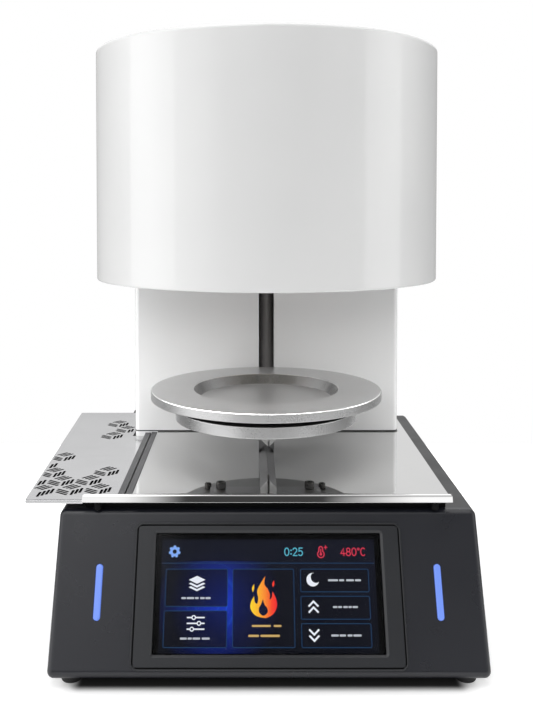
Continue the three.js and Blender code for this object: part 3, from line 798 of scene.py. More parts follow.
# =====================================================================
# display
# =====================================================================
outer = rect(194.6, 99, 5.5, 0, WIN_S - 1.6, 10)
hole = rect(WIN_W, WIN_H, 1.0, 0, WIN_S, 4)
groove = [(0, 0.3), (0, 0.8), (0.08, 1.2), (0.25, 1.55), (0.5, 1.78), (0.8, 1.88), (1.05, 1.84), (1.22, 1.7), (1.3, 1.4),
          (1.32, 0.5), (2.3, 0.5), (2.32, 1.7), (2.42, 1.85), (2.6, 1.9)]
rim = [(0, -4.2), (0, 0.6), (0.15, 0.75), (1.5, 1.75), (1.75, 1.9)]
bez = slab(outer, 0.3, 1.9, [hole], prof=groove, hole_prof=[(0, 0.3)] + rim[1:])
collar = slab(rect(WIN_W + 7.4, WIN_H + 6.6, 2.3, 0, WIN_S, 5), -4.2, 0.3, [hole], prof=[(0, -4.2), (0, 0.3)],
              hole_prof=[(0, -4.2), (0, 0.3)])
frame = put("display_bezel_fine", bez.merge(collar).move(PANEL), BEZEL, "display_bezel", angle=24)
frame.data.materials.append(BLACK)
back = PANEL.inverted()
# painted shade: the groove round the bezel is made black; the collar behind the panel takes the same black
for f in frame.data.polygons:
    c = back @ (f.center * 1000 - Vector((OX, OY, 0)))
    out_x, out_y = 97.3 - abs(c.x), 49.5 - abs(c.y - (WIN_S - 1.6))
    if 1.25 < min(out_x, out_y) < 2.35 and 0.3 < c.z < 1.5 or c.z < -0.6:
        f.material_index = 1
put("display_glass_fine", panel_slab(rect(WIN_W - 0.6, WIN_H - 0.6, 0.8, 0, WIN_S, 3), -2.6, -1.6, b=0.15, steps=3), GLASS,
    "display_glass")


def make_screen():
    """Lit screen: near-black navy with a blue glow and thin rings behind the left tiles."""
    m = Mat("display_screen", Roughness=0.5, Specular_IOR_Level=0.1)
    m.set("Base Color", (0.002, 0.002, 0.003))
    # panel x (mm) and y (mm up the slant) from the object coordinates
    sep = m.node("ShaderNodeSeparateXYZ")
    m.link(m.tc.outputs["Object"], sep.inputs[0])
    px = m.math("SUBTRACT", m.math("MULTIPLY", sep.outputs["X"], 1000.0), OX)
    py = m.math("MULTIPLY", m.math("SUBTRACT", m.math("MULTIPLY", sep.outputs["Z"], 1000.0), 20.9), 1 / math.cos(TILT))

    def blob(cx, cy, sx, sy):
        dx = m.math("DIVIDE", m.math("SUBTRACT", px, cx), sx)
        dy = m.math("DIVIDE", m.math("SUBTRACT", py, cy), sy)
        d = m.math("SQRT", m.math("ADD", m.math("MULTIPLY", dx, dx), m.math("MULTIPLY", dy, dy)))
        return m.remap(d, 1.0, 0.0, 0.0, 1.0)

    def rings(cx, cy, radii):
        dx, dy = m.math("SUBTRACT", px, cx), m.math("SUBTRACT", py, cy)
        d = m.math("SQRT", m.math("ADD", m.math("MULTIPLY", dx, dx), m.math("MULTIPLY", dy, dy)))
        total = None
        for r, w, a in radii:
            one = m.math("MULTIPLY", m.remap(m.math("ABSOLUTE", m.math("SUBTRACT", d, r)), 1.0, 0.0, w * 0.4, w), a)
            total = one if total is None else m.math("ADD", total, one)
        return total

    col = m.ramp(m.remap(py, 0.0, 1.0, 0.0, 60.0), [(0.0, (0.0008, 0.0012, 0.0035)), (1.0, (0.0040, 0.0050, 0.0115))])
    glow = m.math("ADD", m.math("POWER", blob(-31, 33, 40, 46), 1.6), m.math("MULTIPLY", blob(-46, 30, 36, 40), 0.35))
    head = m.math("MULTIPLY", glow, m.remap(py, 1.0, 0.04, 60.3, 61.0))
    blue = m.node("ShaderNodeMix", data_type="RGBA", blend_type="ADD")
    blue.inputs["Factor"].default_value = 1
    m.link(col, blue.inputs["A"])
    mul = m.node("ShaderNodeMix", data_type="RGBA", blend_type="MULTIPLY")
    mul.inputs["Factor"].default_value = 1
    mul.inputs["B"].default_value = (0.004, 0.028, 0.42, 1)
    m.link(head, mul.inputs["A"])
    m.link(mul.outputs["Result"], blue.inputs["B"])
    ring = m.math("MULTIPLY", rings(-44, 33, [(9, 0.7, 0.5), (14.5, 0.5, 0.8), (21, 1.6, 0.5), (27.5, 0.5, 0.6)]),
                  m.math("MULTIPLY", head, 0.8))
    mul2 = m.node("ShaderNodeMix", data_type="RGBA", blend_type="MULTIPLY")
    mul2.inputs["Factor"].default_value = 1
    mul2.inputs["B"].default_value = (0.004, 0.07, 0.25, 1)
    m.link(ring, mul2.inputs["A"])
    add = m.node("ShaderNodeMix", data_type="RGBA", blend_type="ADD")
    add.inputs["Factor"].default_value = 1
    m.link(blue.outputs["Result"], add.inputs["A"])
    m.link(mul2.outputs["Result"], add.inputs["B"])
    m.link(add.outputs["Result"], m.b.inputs["Emission Color"])
    m.set("Emission Strength", 1.0)
    return m.mat


SCREEN_BLACK = make_black_plastic("screen_border", (0.002, 0.002, 0.0022), 0.5, 800, 0.05, 0.05)
SCREEN = make_screen()
module = panel_slab(rect(WIN_W - 0.8, WIN_H - 0.8, 0.8, 0, WIN_S, 3), -9.2, -2.9, b=0.1, steps=2)
put("display_module_fine", module, SCREEN_BLACK, "display_module")

# ---- the picture on the screen: flat shapes just above the module -----------
UI_WHITE = make_emit("ui_white", (0.86, 0.88, 0.92)).mat
UI_LABEL = make_emit("ui_label", (0.52, 0.54, 0.58)).mat
UI_CYAN = make_emit("ui_cyan", (0.10, 0.48, 0.62)).mat
UI_RED = make_emit("ui_red", (0.66, 0.035, 0.075)).mat
UI_GOLD = make_emit("ui_gold", (0.62, 0.40, 0.13)).mat
UI_BLUE = make_emit("ui_blue", (0.23, 0.42, 0.90)).mat
UI_LINE = make_emit("ui_line", (0.008, 0.045, 0.12)).mat


def make_tile():
    """Tiles darken the glow behind them, less towards the middle of the glow."""
    m = Mat("ui_tile", Roughness=0.5, Specular_IOR_Level=0.1)
    m.set("Base Color", (0.001, 0.001, 0.002))
    sep = m.node("ShaderNodeSeparateXYZ")
    m.link(m.tc.outputs["Object"], sep.inputs[0])
    px = m.math("SUBTRACT", m.math("MULTIPLY", sep.outputs["X"], 1000.0), OX)
    py = m.math("MULTIPLY", m.math("SUBTRACT", m.math("MULTIPLY", sep.outputs["Z"], 1000.0), 20.9), 1 / math.cos(TILT))
    dx = m.math("DIVIDE", m.math("SUBTRACT", px, -31.0), 40.0)
    dy = m.math("DIVIDE", m.math("SUBTRACT", py, 33.0), 44.0)
    d = m.math("SQRT", m.math("ADD", m.math("MULTIPLY", dx, dx), m.math("MULTIPLY", dy, dy)))
    g = m.remap(d, 1.0, 0.0, 0.0, 1.0)
    m.link(m.ramp(g, [(0.0, (0.0030, 0.0036, 0.0075)), (0.5, (0.0035, 0.0060, 0.040)), (1.0, (0.0035, 0.010, 0.10))]),
           m.b.inputs["Emission Color"])
    m.set("Emission Strength", 1.0)
    return m.mat


def make_flame():
    """Warm gradient, yellow on the left to red on the right."""
    m = Mat("ui_flame", Roughness=0.5, Specular_IOR_Level=0.1)
    m.set("Base Color", (0.0, 0.0, 0.0))
    sep = m.node("ShaderNodeSeparateXYZ")
    m.link(m.tc.outputs["Object"], sep.inputs[0])
    px = m.math("SUBTRACT", m.math("MULTIPLY", sep.outputs["X"], 1000.0), OX)
    m.link(m.ramp(m.remap(px, 0.0, 1.0, -13.5, 6.1),
                  [(0.0, (1.0, 0.72, 0.03)), (0.45, (1.0, 0.35, 0.035)), (0.8, (0.95, 0.07, 0.03)), (1.0, (0.9, 0.02, 0.03))]),
           m.b.inputs["Emission Color"])
    m.set("Emission Strength", 1.0)
    return m.mat


UI_TILE = make_tile()
UI_FLAME = make_flame()
UI_MATS = [SCREEN, UI_TILE, UI_LINE, UI_WHITE, UI_CYAN, UI_RED, UI_GOLD, UI_BLUE, UI_FLAME, UI_LABEL]
L_SCREEN, L_TILE, L_LINE, L_WHITE, L_CYAN, L_RED, L_GOLD, L_BLUE, L_FLAME, L_LABEL = range(10)
Z_OF = {L_SCREEN: -2.87, L_TILE: -2.83, L_LINE: -2.79, L_WHITE: -2.74, L_CYAN: -2.74, L_RED: -2.74, L_GOLD: -2.74,
        L_BLUE: -2.74, L_FLAME: -2.74, L_LABEL: -2.74}
ui = Geo()


def flat(loops, mat, z=None):
    """A flat shape facing out of the panel; the first loop is its outline, the rest holes."""
    z = Z_OF[mat] if z is None else z
    idx = [ui.ring([(p[0], p[1], z) for p in loop]) for loop in loops]
    cap(ui, idx, z, mat)


def ribbon(pts, w, mat, closed=False, ends=True):
    """A line of width w; open lines get round ends."""
    pts = [Vector(p[:2]) for p in pts]
    n = len(pts)
    left, right = [], []
    for i, p in enumerate(pts):
        a = pts[i - 1] if (i or closed) else None
        b = pts[(i + 1) % n] if (i < n - 1 or closed) else None
        u = (p - a).normalized() if a is not None else (b - p).normalized()
        v = (b - p).normalized() if b is not None else u
        nu, nv = Vector((-u.y, u.x)), Vector((-v.y, v.x))
        m = (nu + nv) / max(0.5, 1 + nu.dot(nv))
        left.append(p + m * w / 2)
        right.append(p - m * w / 2)
    if closed:
        z = Z_OF[mat]
        a = ui.ring([(p.x, p.y, z) for p in left])
        b = ui.ring([(p.x, p.y, z) for p in right])
        ui.bridge(a, b, mat)
        return
    loop = list(left)
    if ends:
        for base, nxt, side in ((pts[-1], pts[-2], left[-1]),):
            a0 = math.atan2(side.y - base.y, side.x - base.x)
            loop += [Vector((base.x + w / 2 * math.cos(a0 - PI * k / 6), base.y + w / 2 * math.sin(a0 - PI * k / 6)))
                     for k in range(1, 6)]
    loop += right[::-1]
    if ends:
        a0 = math.atan2(right[0].y - pts[0].y, right[0].x - pts[0].x)
        loop += [Vector((pts[0].x + w / 2 * math.cos(a0 - PI * k / 6), pts[0].y + w / 2 * math.sin(a0 - PI * k / 6)))
                 for k in range(1, 6)]
    flat([loop], mat)


def ring2(cx, cy, r, w, mat, n=32, sx=1.0):
    ribbon([(cx + r * sx * math.cos(2 * PI * k / n), cy + r * math.sin(2 * PI * k / n)) for k in range(n)], w, mat, True)


def arc_pts(cx, cy, rx, ry, a0, a1, n=14):
    return [(cx + rx * math.cos(math.radians(a0 + (a1 - a0) * k / n)), cy + ry * math.sin(math.radians(a0 + (a1 - a0) * k / n)))
            for k in range(n + 1)]


GLYPHS = {
    "0": [("c", arc_pts(0.31, 0.5, 0.27, 0.46, 0, 345, 23))],
    "1": [("o", [(0.12, 0.80), (0.36, 0.96), (0.36, 0.04)])],
    "2": [("o", arc_pts(0.31, 0.70, 0.25, 0.26, 165, -35, 12) + [(0.08, 0.04), (0.58, 0.04)])],
    "4": [("o", [(0.44, 0.04), (0.44, 0.96), (0.06, 0.30), (0.62, 0.30)])],
    "5": [("o", [(0.54, 0.96), (0.14, 0.96), (0.11, 0.56)] + arc_pts(0.29, 0.34, 0.27, 0.29, 115, -140, 14))],
    "8": [("c", arc_pts(0.31, 0.73, 0.21, 0.23, 0, 340, 17)), ("c", arc_pts(0.31, 0.27, 0.26, 0.24, 0, 340, 17))],
    "C": [("o", arc_pts(0.38, 0.5, 0.30, 0.46, 50, 310, 18))],
}


def write(text, x, y, h, w, mat):
    """Plain figures, drawn as lines."""
    for ch in text:
        if ch == ":":
            for k in (0.24, 0.68):
                flat([[(x + 0.14 * h + 0.10 * h * math.cos(t * PI / 6), y + k * h + 0.10 * h * math.sin(t * PI / 6))
                       for t in range(12)]], mat)
            x += 0.32 * h
            continue
        if ch == "o":
            ring2(x + 0.16 * h, y + 0.84 * h, 0.12 * h, w * 0.8, mat, 16)
            x += 0.38 * h
            continue
        if ch == " ":
            x += 0.35 * h
            continue
        for kind, pts in GLYPHS[ch]:
            q = [(x + a * h, y + b * h) for a, b in pts]
            ribbon(q, w, mat, kind == "c")
        x += 0.72 * h
    return x


def dashes(x0, x1, y0, y1, parts, mat):
    """A label as a row of plain rounded bars; parts are shares of the width, negative for a gap."""
    total = sum(abs(p) for p in parts)
    x = x0
    h = (y1 - y0) * 0.42
    yc = (y0 + y1) / 2
    for p in parts:
        w = (x1 - x0) * abs(p) / total
        if p > 0:
            flat([rect(w, h, h * 0.35, x + w / 2, yc, 3)], mat)
        x += w


# picture area and header line
flat([rect(155.5, 76.5, 0.3, 0, 39.0, 2)], L_SCREEN)
ribbon([(-77.3, 60.8), (77.3, 60.8)], 0.45, L_LINE, ends=False)


def tile(x0, y0, x1, y1):
    loop = box_loop(x0, x1, y0, y1, 1.1, 4)
    flat([loop], L_TILE)
    ribbon(loop, 0.5, L_LINE, True)


tile(-74.2, 31.5, -29.6, 56.7)
tile(-74.6, 4.7, -29.8, 28.6)
tile(-25.6, 4.7, 18.4, 56.7)
tile(23.3, 41.3, 72.6, 56.7)
tile(23.3, 23.1, 72.6, 38.3)
tile(23.3, 4.7, 72.6, 20.2)

# gear
teeth = []
for k in range(7):
    for da, r in ((-0.30, 3.35), (-0.17, 4.35), (0.17, 4.35), (0.30, 3.35)):
        a = 2 * PI * k / 7 + PI / 2 + da
        teeth.append((-68.5 + r * math.cos(a), 68.8 + r * math.sin(a)))
flat([teeth, circle(1.5, 20, -68.5, 68.8)[::-1]], L_BLUE)

# plain figures: time and temperature
write("0:25", 11.9, 65.8, 5.7, 0.72, L_CYAN)
write("480oC", 52.9, 65.8, 5.7, 0.72, L_RED)
# thermometer
stem = arc_pts(38.6, 70.9, 1.35, 1.35, 180, 0, 8) + arc_pts(38.6, 67.0, 2.4, 2.4, 55, -235, 16)
ribbon(stem, 0.75, L_RED, True)
flat([circle(0.95, 14, 38.6, 67.0)], L_RED)
ribbon([(38.6, 67.2), (38.6, 70.4)], 0.7, L_RED)
ribbon([(42.2, 70.6), (42.2, 73.0)], 0.6, L_RED)
ribbon([(41.2, 71.8), (43.2, 71.8)], 0.6, L_RED)

# stacked layers
cx, cy = -51.6, 49.4
flat([[(cx - 6, cy), (cx, cy - 2.7), (cx + 6, cy), (cx, cy + 2.7)]], L_WHITE)
for d in (3.0, 5.4):
    flat([[(cx - 6, cy - d + 0.4), (cx - 4.4, cy - d + 1.1), (cx, cy - d - 0.9), (cx + 4.4, cy - d + 1.1),
           (cx + 6, cy - d + 0.4), (cx, cy - d - 2.3)]], L_WHITE)
dashes(-62.6, -41.6, 35.5, 38.7, [3, -0.5, 5, -0.5, 2.4, -1.0, 3, -0.5, 3.4], L_LABEL)
# sliders
for y, kx in ((24.2, -53.4), (20.4, -49.6), (16.6, -54.6)):
    ribbon([(-57.9, y), (kx - 1.3, y)], 0.95, L_WHITE)
    ribbon([(kx + 1.3, y), (-46.0, y)], 0.95, L_WHITE)
    ring2(kx, y, 1.25, 0.75, L_WHITE, 20)
dashes(-62.8, -41.8, 8.9, 12.1, [4, -0.5, 2.4, -0.5, 4.4, -1.0, 4.6], L_LABEL)
# moon
crescent = arc_pts(32.2, 49.5, 4.6, 4.6, 75, 345, 26) + arc_pts(34.6, 51.2, 3.9, 3.9, -68, -222, 18)
flat([crescent], L_WHITE)
dashes(43.2, 67.0, 47.5, 50.7, [4.4, -0.5, 2.2, -0.9, 3.4, -0.5, 2.6], L_LABEL)
# chevrons
for y, s, lab in ((31.2, 1, (46.1, 63.9, 29.6, 32.7)), (12.3, -1, (44.2, 65.6, 10.9, 14.1))):
    for d in (2.2, -1.8):
        yy = y + d * 1.0
        ribbon([(28.7, yy - 1.9 * s), (32.2, yy + 1.5 * s), (35.7, yy - 1.9 * s)], 1.25, L_WHITE, ends=False)
    dashes(*lab, [3, -0.5, 2.6, -0.9, 3, -0.5, 2.2, -0.5, 3.6] if s > 0 else [4, -0.5, 3.4, -0.9, 2.6, -0.5, 4.4], L_LABEL)
# two plain lines under the flame
dashes(-12.0, 9.0, 17.1, 20.3, [6.4, -1.0, 2.6], L_GOLD)
dashes(-14.5, 7.8, 10.5, 14.0, [3.4, -0.5, 6.2], L_GOLD)


def smooth_loop(pts, n=6):
    """Closed curve through the points; a point given as (x, y, 1) is a corner."""
    out = []
    m = len(pts)
    for i in range(m):
        p0, p1, p2, p3 = (Vector(pts[(i + k - 1) % m][:2]) for k in range(4))
        c1, c2 = len(pts[i]) > 2, len(pts[(i + 1) % m]) > 2
        t1 = (p2 - p1) * 0.5 if c1 else (p2 - p0) * 0.5
        t2 = (p2 - p1) * 0.5 if c2 else (p3 - p1) * 0.5
        for k in range(n):
            t = k / n
            h1, h2 = 2 * t ** 3 - 3 * t ** 2 + 1, t ** 3 - 2 * t ** 2 + t
            h3, h4 = -2 * t ** 3 + 3 * t ** 2, t ** 3 - t ** 2
            out.append(p1 * h1 + t1 * h2 + p2 * h3 + t2 * h4)
    return out


# a plain flame of this scene's own: one tall tongue, two side tongues and a dark heart
flame = [(-3.6, 24.0), (-9.4, 25.6), (-12.9, 30.0), (-12.6, 34.4), (-10.4, 38.4, 1), (-9.9, 34.6), (-8.2, 33.4),
         (-7.4, 37.0), (-8.1, 42.0), (-5.6, 47.0), (-2.2, 52.0, 1), (-2.9, 46.6), (-0.4, 43.0), (1.0, 39.4), (0.8, 36.2),
         (2.3, 37.6), (2.9, 41.6, 1), (5.4, 36.8), (6.0, 31.6), (3.6, 26.8), (-0.6, 24.3)]
heart = [(-3.7, 25.4), (-6.6, 27.4), (-6.9, 30.4), (-5.4, 33.0), (-4.0, 36.4, 1), (-2.9, 32.8), (-1.0, 30.4), (-0.7, 27.6)]
flat([smooth_loop(flame), [Vector(p) for p in smooth_loop(heart)][::-1]], L_FLAME)
for q in ([(-11.2, 41.0, 1), (-11.9, 43.6), (-10.4, 46.6, 1), (-10.3, 43.6)], [(3.3, 44.4, 1), (2.7, 46.6), (4.0, 49.0, 1), (4.3, 46.4)]):
    flat([smooth_loop(q, 5)], L_FLAME)

me = bpy.data.meshes.new("display_graphics")
me.from_pydata([PUT @ (PANEL @ p) for p in ui.v], [], ui.f)
me.polygons.foreach_set("material_index", ui.m)
out_dir = (PANEL.to_3x3() @ Vector((0, 0, 1)))
gfx = bpy.data.objects.new("display_graphics", me)
bpy.context.scene.collection.objects.link(gfx)
bm = bmesh.new()
bm.from_mesh(me)
for f in bm.faces:
    f.normal_update()
    if f.normal.dot(out_dir) < 0:
        f.normal_flip()
bm.to_mesh(me)
bm.free()
for m_ in UI_MATS:
    me.materials.append(m_)
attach(gfx, nodes["display_module"]["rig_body"])


# light bars
def make_led():
    m = Mat("led_lens", Roughness=0.3, Coat_Weight=0.3, Coat_Roughness=0.1)
    m.set("Base Color", (0.04, 0.06, 0.16))
    lw = m.node("ShaderNodeLayerWeight")
    lw.inputs["Blend"].default_value = 0.35
    grain = m.noise(700, 2)
    fac = m.math("ADD", lw.outputs["Facing"], m.remap(grain, -0.04, 0.04))
    m.link(m.ramp(fac, [(0.0, (0.16, 0.30, 0.92)), (0.75, (0.11, 0.20, 0.72))]), m.b.inputs["Emission Color"])
    m.set("Emission Strength", 0.84)
    return m.mat


LED = make_led()
for n, s in (("left", -1), ("right", 1)):
    put("led_bar_%s_fine" % n, panel_slab(rect(4.8, 38, 2.38, s * 122.4, 41, 10), -4.5, 0.5, b=0.1, b_top=0.9, steps=5),
        LED, "led_bar_" + n)

# =====================================================================
# work surface
# =====================================================================
PLATE_TOP, PLATE_T = 120.5, 1.5
lip_prof = arc_path([[-84, 120.5], [-88.15, 120.5, 2.2], [-90.3, 114.9, 0.35], [-88.9, 114.45, 0.35], [-87.25, 119.0, 0.9],
                     [-84, 119.0]], True, 6)
lip = slab(lip_prof, -138, 137, b=0.25, steps=3).move(YZX)
lip = solid("lip", lip)
cut(lip, [solid("t", slab([(137 - 3.4, 112), (139, 112), (139, 117.4)], 80, 95, b=0).move(XZY)),
          solid("t", slab([(-138 + 3.4, 112), (-140, 117.4), (-140, 112)], 80, 95, b=0).move(XZY)),
          solid("t", slab([(137 - 3.2, 122), (139, 117.2), (139, 122)], 86.95, 95, b=0).move(XZY)),
          solid("t", slab([(-138 + 3.2, 122), (-140, 122), (-140, 117.2)], 80, 95, b=0).move(XZY)),
          solid("t", cube(-140, -100.7, -86.85, -80, 110, 125)),
          solid("t", cube(134, 140, -86.85, -80, 110, 125))])
sheet = solid("sheet", slab(arc_path([[-100.7, -86], [134, -86], [134, 212, 1.5], [-100.7, 212, 1.5], [-100.7, 205.3],
                                      [126.5, 205.3, 1], [126.5, 98.7, 1], [-100.7, 98.7]], True, 4), 119.0, 120.5, b=0.25,
                            steps=3))
cut(sheet, [lip], "UNION")
put("work_plate_fine", sheet, MIRROR, "work_plate", angle=24)
for n, x in (("left", -126.4), ("right", 124.3)):
    put("lip_bumper_%s_fine" % n, turned([[0, 108.6], [2.8, 108.6, 0.3], [2.8, 113.2, 0.9], [1.8, 114.1, 0.5], [0, 114.1]],
                                         40, x, -86), BLACK, "lip_bumper_" + n)

# side tray with its tumbling-block field of slots
TRAY_TOP, TRAY_T = 116.2, 1.2
holes = []


def tray_slot(x0, y0, x1, y1, w=1.5):
    lim = -180.5 - 9.5 * (min(y0, y1) + 86.2) / 279.7 + 1.6
    if x0 < lim:
        y0 += (y1 - y0) * (lim - x0) / (x1 - x0)
        x0 = lim
    ang = math.atan2(y1 - y0, x1 - x0)
    r = w / 2
    pts = []
    for cx, cy, a0 in ((x1, y1, ang - PI / 2), (x0, y0, ang + PI / 2)):
        ux, uy = (math.cos(ang), math.sin(ang)) if cx == x1 and cy == y1 else (-math.cos(ang), -math.sin(ang))
        for k in range(7):
            t = a0 + PI * k / 6
            pts.append(Vector((cx - ux * r * 0.6 + r * math.cos(t), cy - uy * r * 0.6 + r * math.sin(t))))
    holes.append(pts)


def tray_cell(i, j, left, top, right):
    x = -148.8 + 21.7 * i + 10.45 * j
    y = -75.6 + 1.7 * i + 24 * j
    for k in range(left):
        tray_slot(x - 12.5, y + 13.77 - 3.58 * k, x - 3.2, y + 7.07 - 3.58 * k, 1.9)
    for k in range(top):
        t = 0.09 + 0.408 * k
        tray_slot(x - 9.9 + 7.1 * t, y + 18 - 4.6 * t, x - 3 + 7.1 * t, y + 25.5 - 4.6 * t, 2.1)
    for k in right:
        tray_slot(x + 2.8 * k, y + 2.6 * k, x + 2.8 * k + 0.2, y + 2.6 * k + 10.9, 1.95)


R3 = (0, 1, 2)
for spec in ((0, 0, 3, 3, R3), (1, 0, 3, 3, R3), (-1, 0, 0, 3, (-1, 0, 1, 2)), (0, 1, 3, 3, R3), (-1, 1, 3, 3, R3),
             (-2, 1, 0, 0, (1, 2)), (0, 2, 3, 3, R3), (-2, 2, 3, 3, R3), (-3, 3, 0, 0, (1, 2)), (-3, 4, 3, 3, R3),
             (-3, 7, 3, 3, R3), (-3, 8, 3, 3, (0, 1)), (-4, 9, 3, 3, R3)):
    tray_cell(*spec)
tray = slab(arc_path([[-180.5, -86.2, 0.6], [-107, -86.2], [-107, 98.4], [-124, 98.4], [-124, 193.5], [-190, 193.5, 1.5]],
                     True, 3), TRAY_TOP - TRAY_T, TRAY_TOP, holes, b=0.2, steps=2)
# painted shade: a black sheet under the tray darkens what shows through the slots
put("tray_shade_liner", slab([(-179.4, -84.4), (-108, -84.4), (-108, 97.4), (-125, 97.4), (-125, 192.5), (-188.9, 192.5)], 114.66,
                       114.94, b=0), BLACK, body=nodes["side_tray"]["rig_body"])
hem = slab([(-180.5, -86.2), (-138, -86.2), (-138, -84.8), (-180.3, -84.8)], TRAY_TOP - 3.4, TRAY_TOP - TRAY_T, b=0.0,
           b_bot=0.3, steps=3)
TRAY_OB = put("side_tray_fine", tray.merge(hem), [TRAY, BLACK], "side_tray", angle=24)
# painted shade: the walls of the slots take the black board material
for f in TRAY_OB.data.polygons:
    fx, fy, fz = f.center.x * 1000 - OX, f.center.y * 1000 - OY, f.center.z * 1000
    inside = (-180.5 - 9.5 * (fy + 86.2) / 279.7 + 0.9 < fx < (-107.6 if fy < 97.8 else -124.6)) and -83 < fy < 192.8
    if abs(f.normal.z) < 0.5 and inside and fz > 114.9:
        f.material_index = 1
put("plate_rail_fine", slab(box_loop(-106.2, -101.0, -85, 98.4, 0.4, 3), 115.2, 120.0, b=0.5, steps=3), RAIL, "plate_rail")
put("tray_rail_fine", slab(box_loop(-112.0, -106.8, -85, 96.2, 0.4, 3), TRAY_TOP + 0.3, 120.0, b=0.5, steps=3), RAIL,
    "tray_rail")

# =====================================================================
# column
# =====================================================================
COL_W, COL_Y0, COL_Y1, COL_Z0, COL_TOP, COL_T, COL_R = 248.2, 99, 205, 119, 402, 2, 4.5
CX0, CX1 = COL_X - COL_W / 2, COL_X + COL_W / 2


def col_loop(d, y1, steps=8):
    return arc_path([[CX0 + d, COL_Y0 + d, COL_R - d], [CX1 - d, COL_Y0 + d, COL_R - d], [CX1 - d, y1], [CX0 + d, y1]],
                    True, steps)


DRUM_R, DRUM_Z0, DRUM_Z1, DRUM_T = 138.6, 275, 458.7, 1.6
col = solid("col", slab(col_loop(0, COL_Y1), 114.9, COL_TOP, b_bot=0.3, b_top=3.0, steps=6))
cut(col, [solid("t", cube(-101, 200, 0, 300, 100, COL_Z0)),
          solid("t", slab(circle(DRUM_R + 0.8, 192), DRUM_Z0 - 0.3, 500, b=0)),
          solid("t", slab(col_loop(COL_T, COL_Y1 + 10), 110, COL_TOP - COL_T, b=0, b_top=1.5, steps=4)),
          solid("t", slab(arc_path([[COL_X - 7.1, 124, 1.2], [COL_X + 7.1, 124, 1.2], [COL_X + 7.1, 300],
                                    [COL_X - 7.1, 300]], True, 5), -103, -90,
                          b=0).move(XZY))])
put("column_cover_fine", col, ENAMEL, "column_cover", angle=28)




def foot_strip(d):
    return [p for p in arc_path([[CX0 - d, 98.9 + 30], [CX0 - d, COL_Y0 - d, COL_R], [CX1 + d, COL_Y0 - d, COL_R],
                                 [CX1 + d, COL_Y1 - 0.5]], False, 8)]


# painted shade: a black rubber strip round the tower's foot stands in for the dark gap above the plate
strip = foot_strip(0.25) + foot_strip(0.02)[::-1]
put("column_foot_shade_strip", slab(strip, 120.62, 121.55, b=0), RUBBER, body=nodes["column_cover"]["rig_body"])

# =====================================================================
# lift gear
# =====================================================================
def thread(r, root, z0, z1, pitch, starts, cx, cy, n=48):
    """A right-hand screw of several starts, its ends cut flat."""
    g = Geo()
    lead = pitch * starts
    prof = ((0.0, r), (0.30, r), (0.48, root), (0.82, root))
    zs = []
    turns = int((z1 - z0 + 2 * lead) / pitch) + 1
    for t in range(turns):
        for f, rr in prof:
            zs.append((t * pitch + f * pitch, rr))
    per = len(prof) * starts
    cols = []
    for k in range(n + 1):
        a = 2 * PI * k / n
        col_ = []
        for z, rr in zs:
            zz = z0 - lead + z + lead * k / n - lead * 0.0
            col_.append((zz, rr, a))
        cols.append(col_)
    idx = []
    for k in range(n):
        row = []
        for zz, rr, a in cols[k]:
            zc = min(max(zz, z0), z1)
            row.append(g.vert((cx + rr * math.cos(a), cy + rr * math.sin(a), zc)))
        idx.append(row)
    last = len(zs)
    for k in range(n):
        for j in range(last - 1):
            if k < n - 1:
                q = (idx[k][j], idx[k + 1][j], idx[k + 1][j + 1], idx[k][j + 1])
            else:
                j2 = j + per
                if j2 + 1 >= last:
                    continue
                q = (idx[k][j], idx[0][j2], idx[0][j2 + 1], idx[k][j + 1])
            zz = [g.v[i].z for i in q]
            if max(zz) - min(zz) < 1e-6:
                continue
            g.face(q)
    # end discs
    for z, up in ((z0, False), (z1, True)):
        c = g.vert((cx, cy, z))
        ring = g.ring([(cx + root * math.cos(2 * PI * k / n), cy + root * math.sin(2 * PI * k / n), z) for k in range(n)])
        for k in range(n):
            g.face([c, ring[k], ring[(k + 1) % n]])
    return g


put("lead_screw_fine", thread(6.9, 6.6, 101, 270.4, 1.25, 8, COL_X, 118), SCREW, "lead_screw", angle=50,
    weighted=False)
for n, x in (("left", COL_X - 36), ("right", COL_X + 36)):
    put("guide_rod_%s_fine" % n, turned([[0, 110.5], [5, 110.5, 0.6], [5, 270.6, 0.6], [0, 270.6]], 48, x, 118), SCREW_PLAIN,
        "guide_rod_" + n)

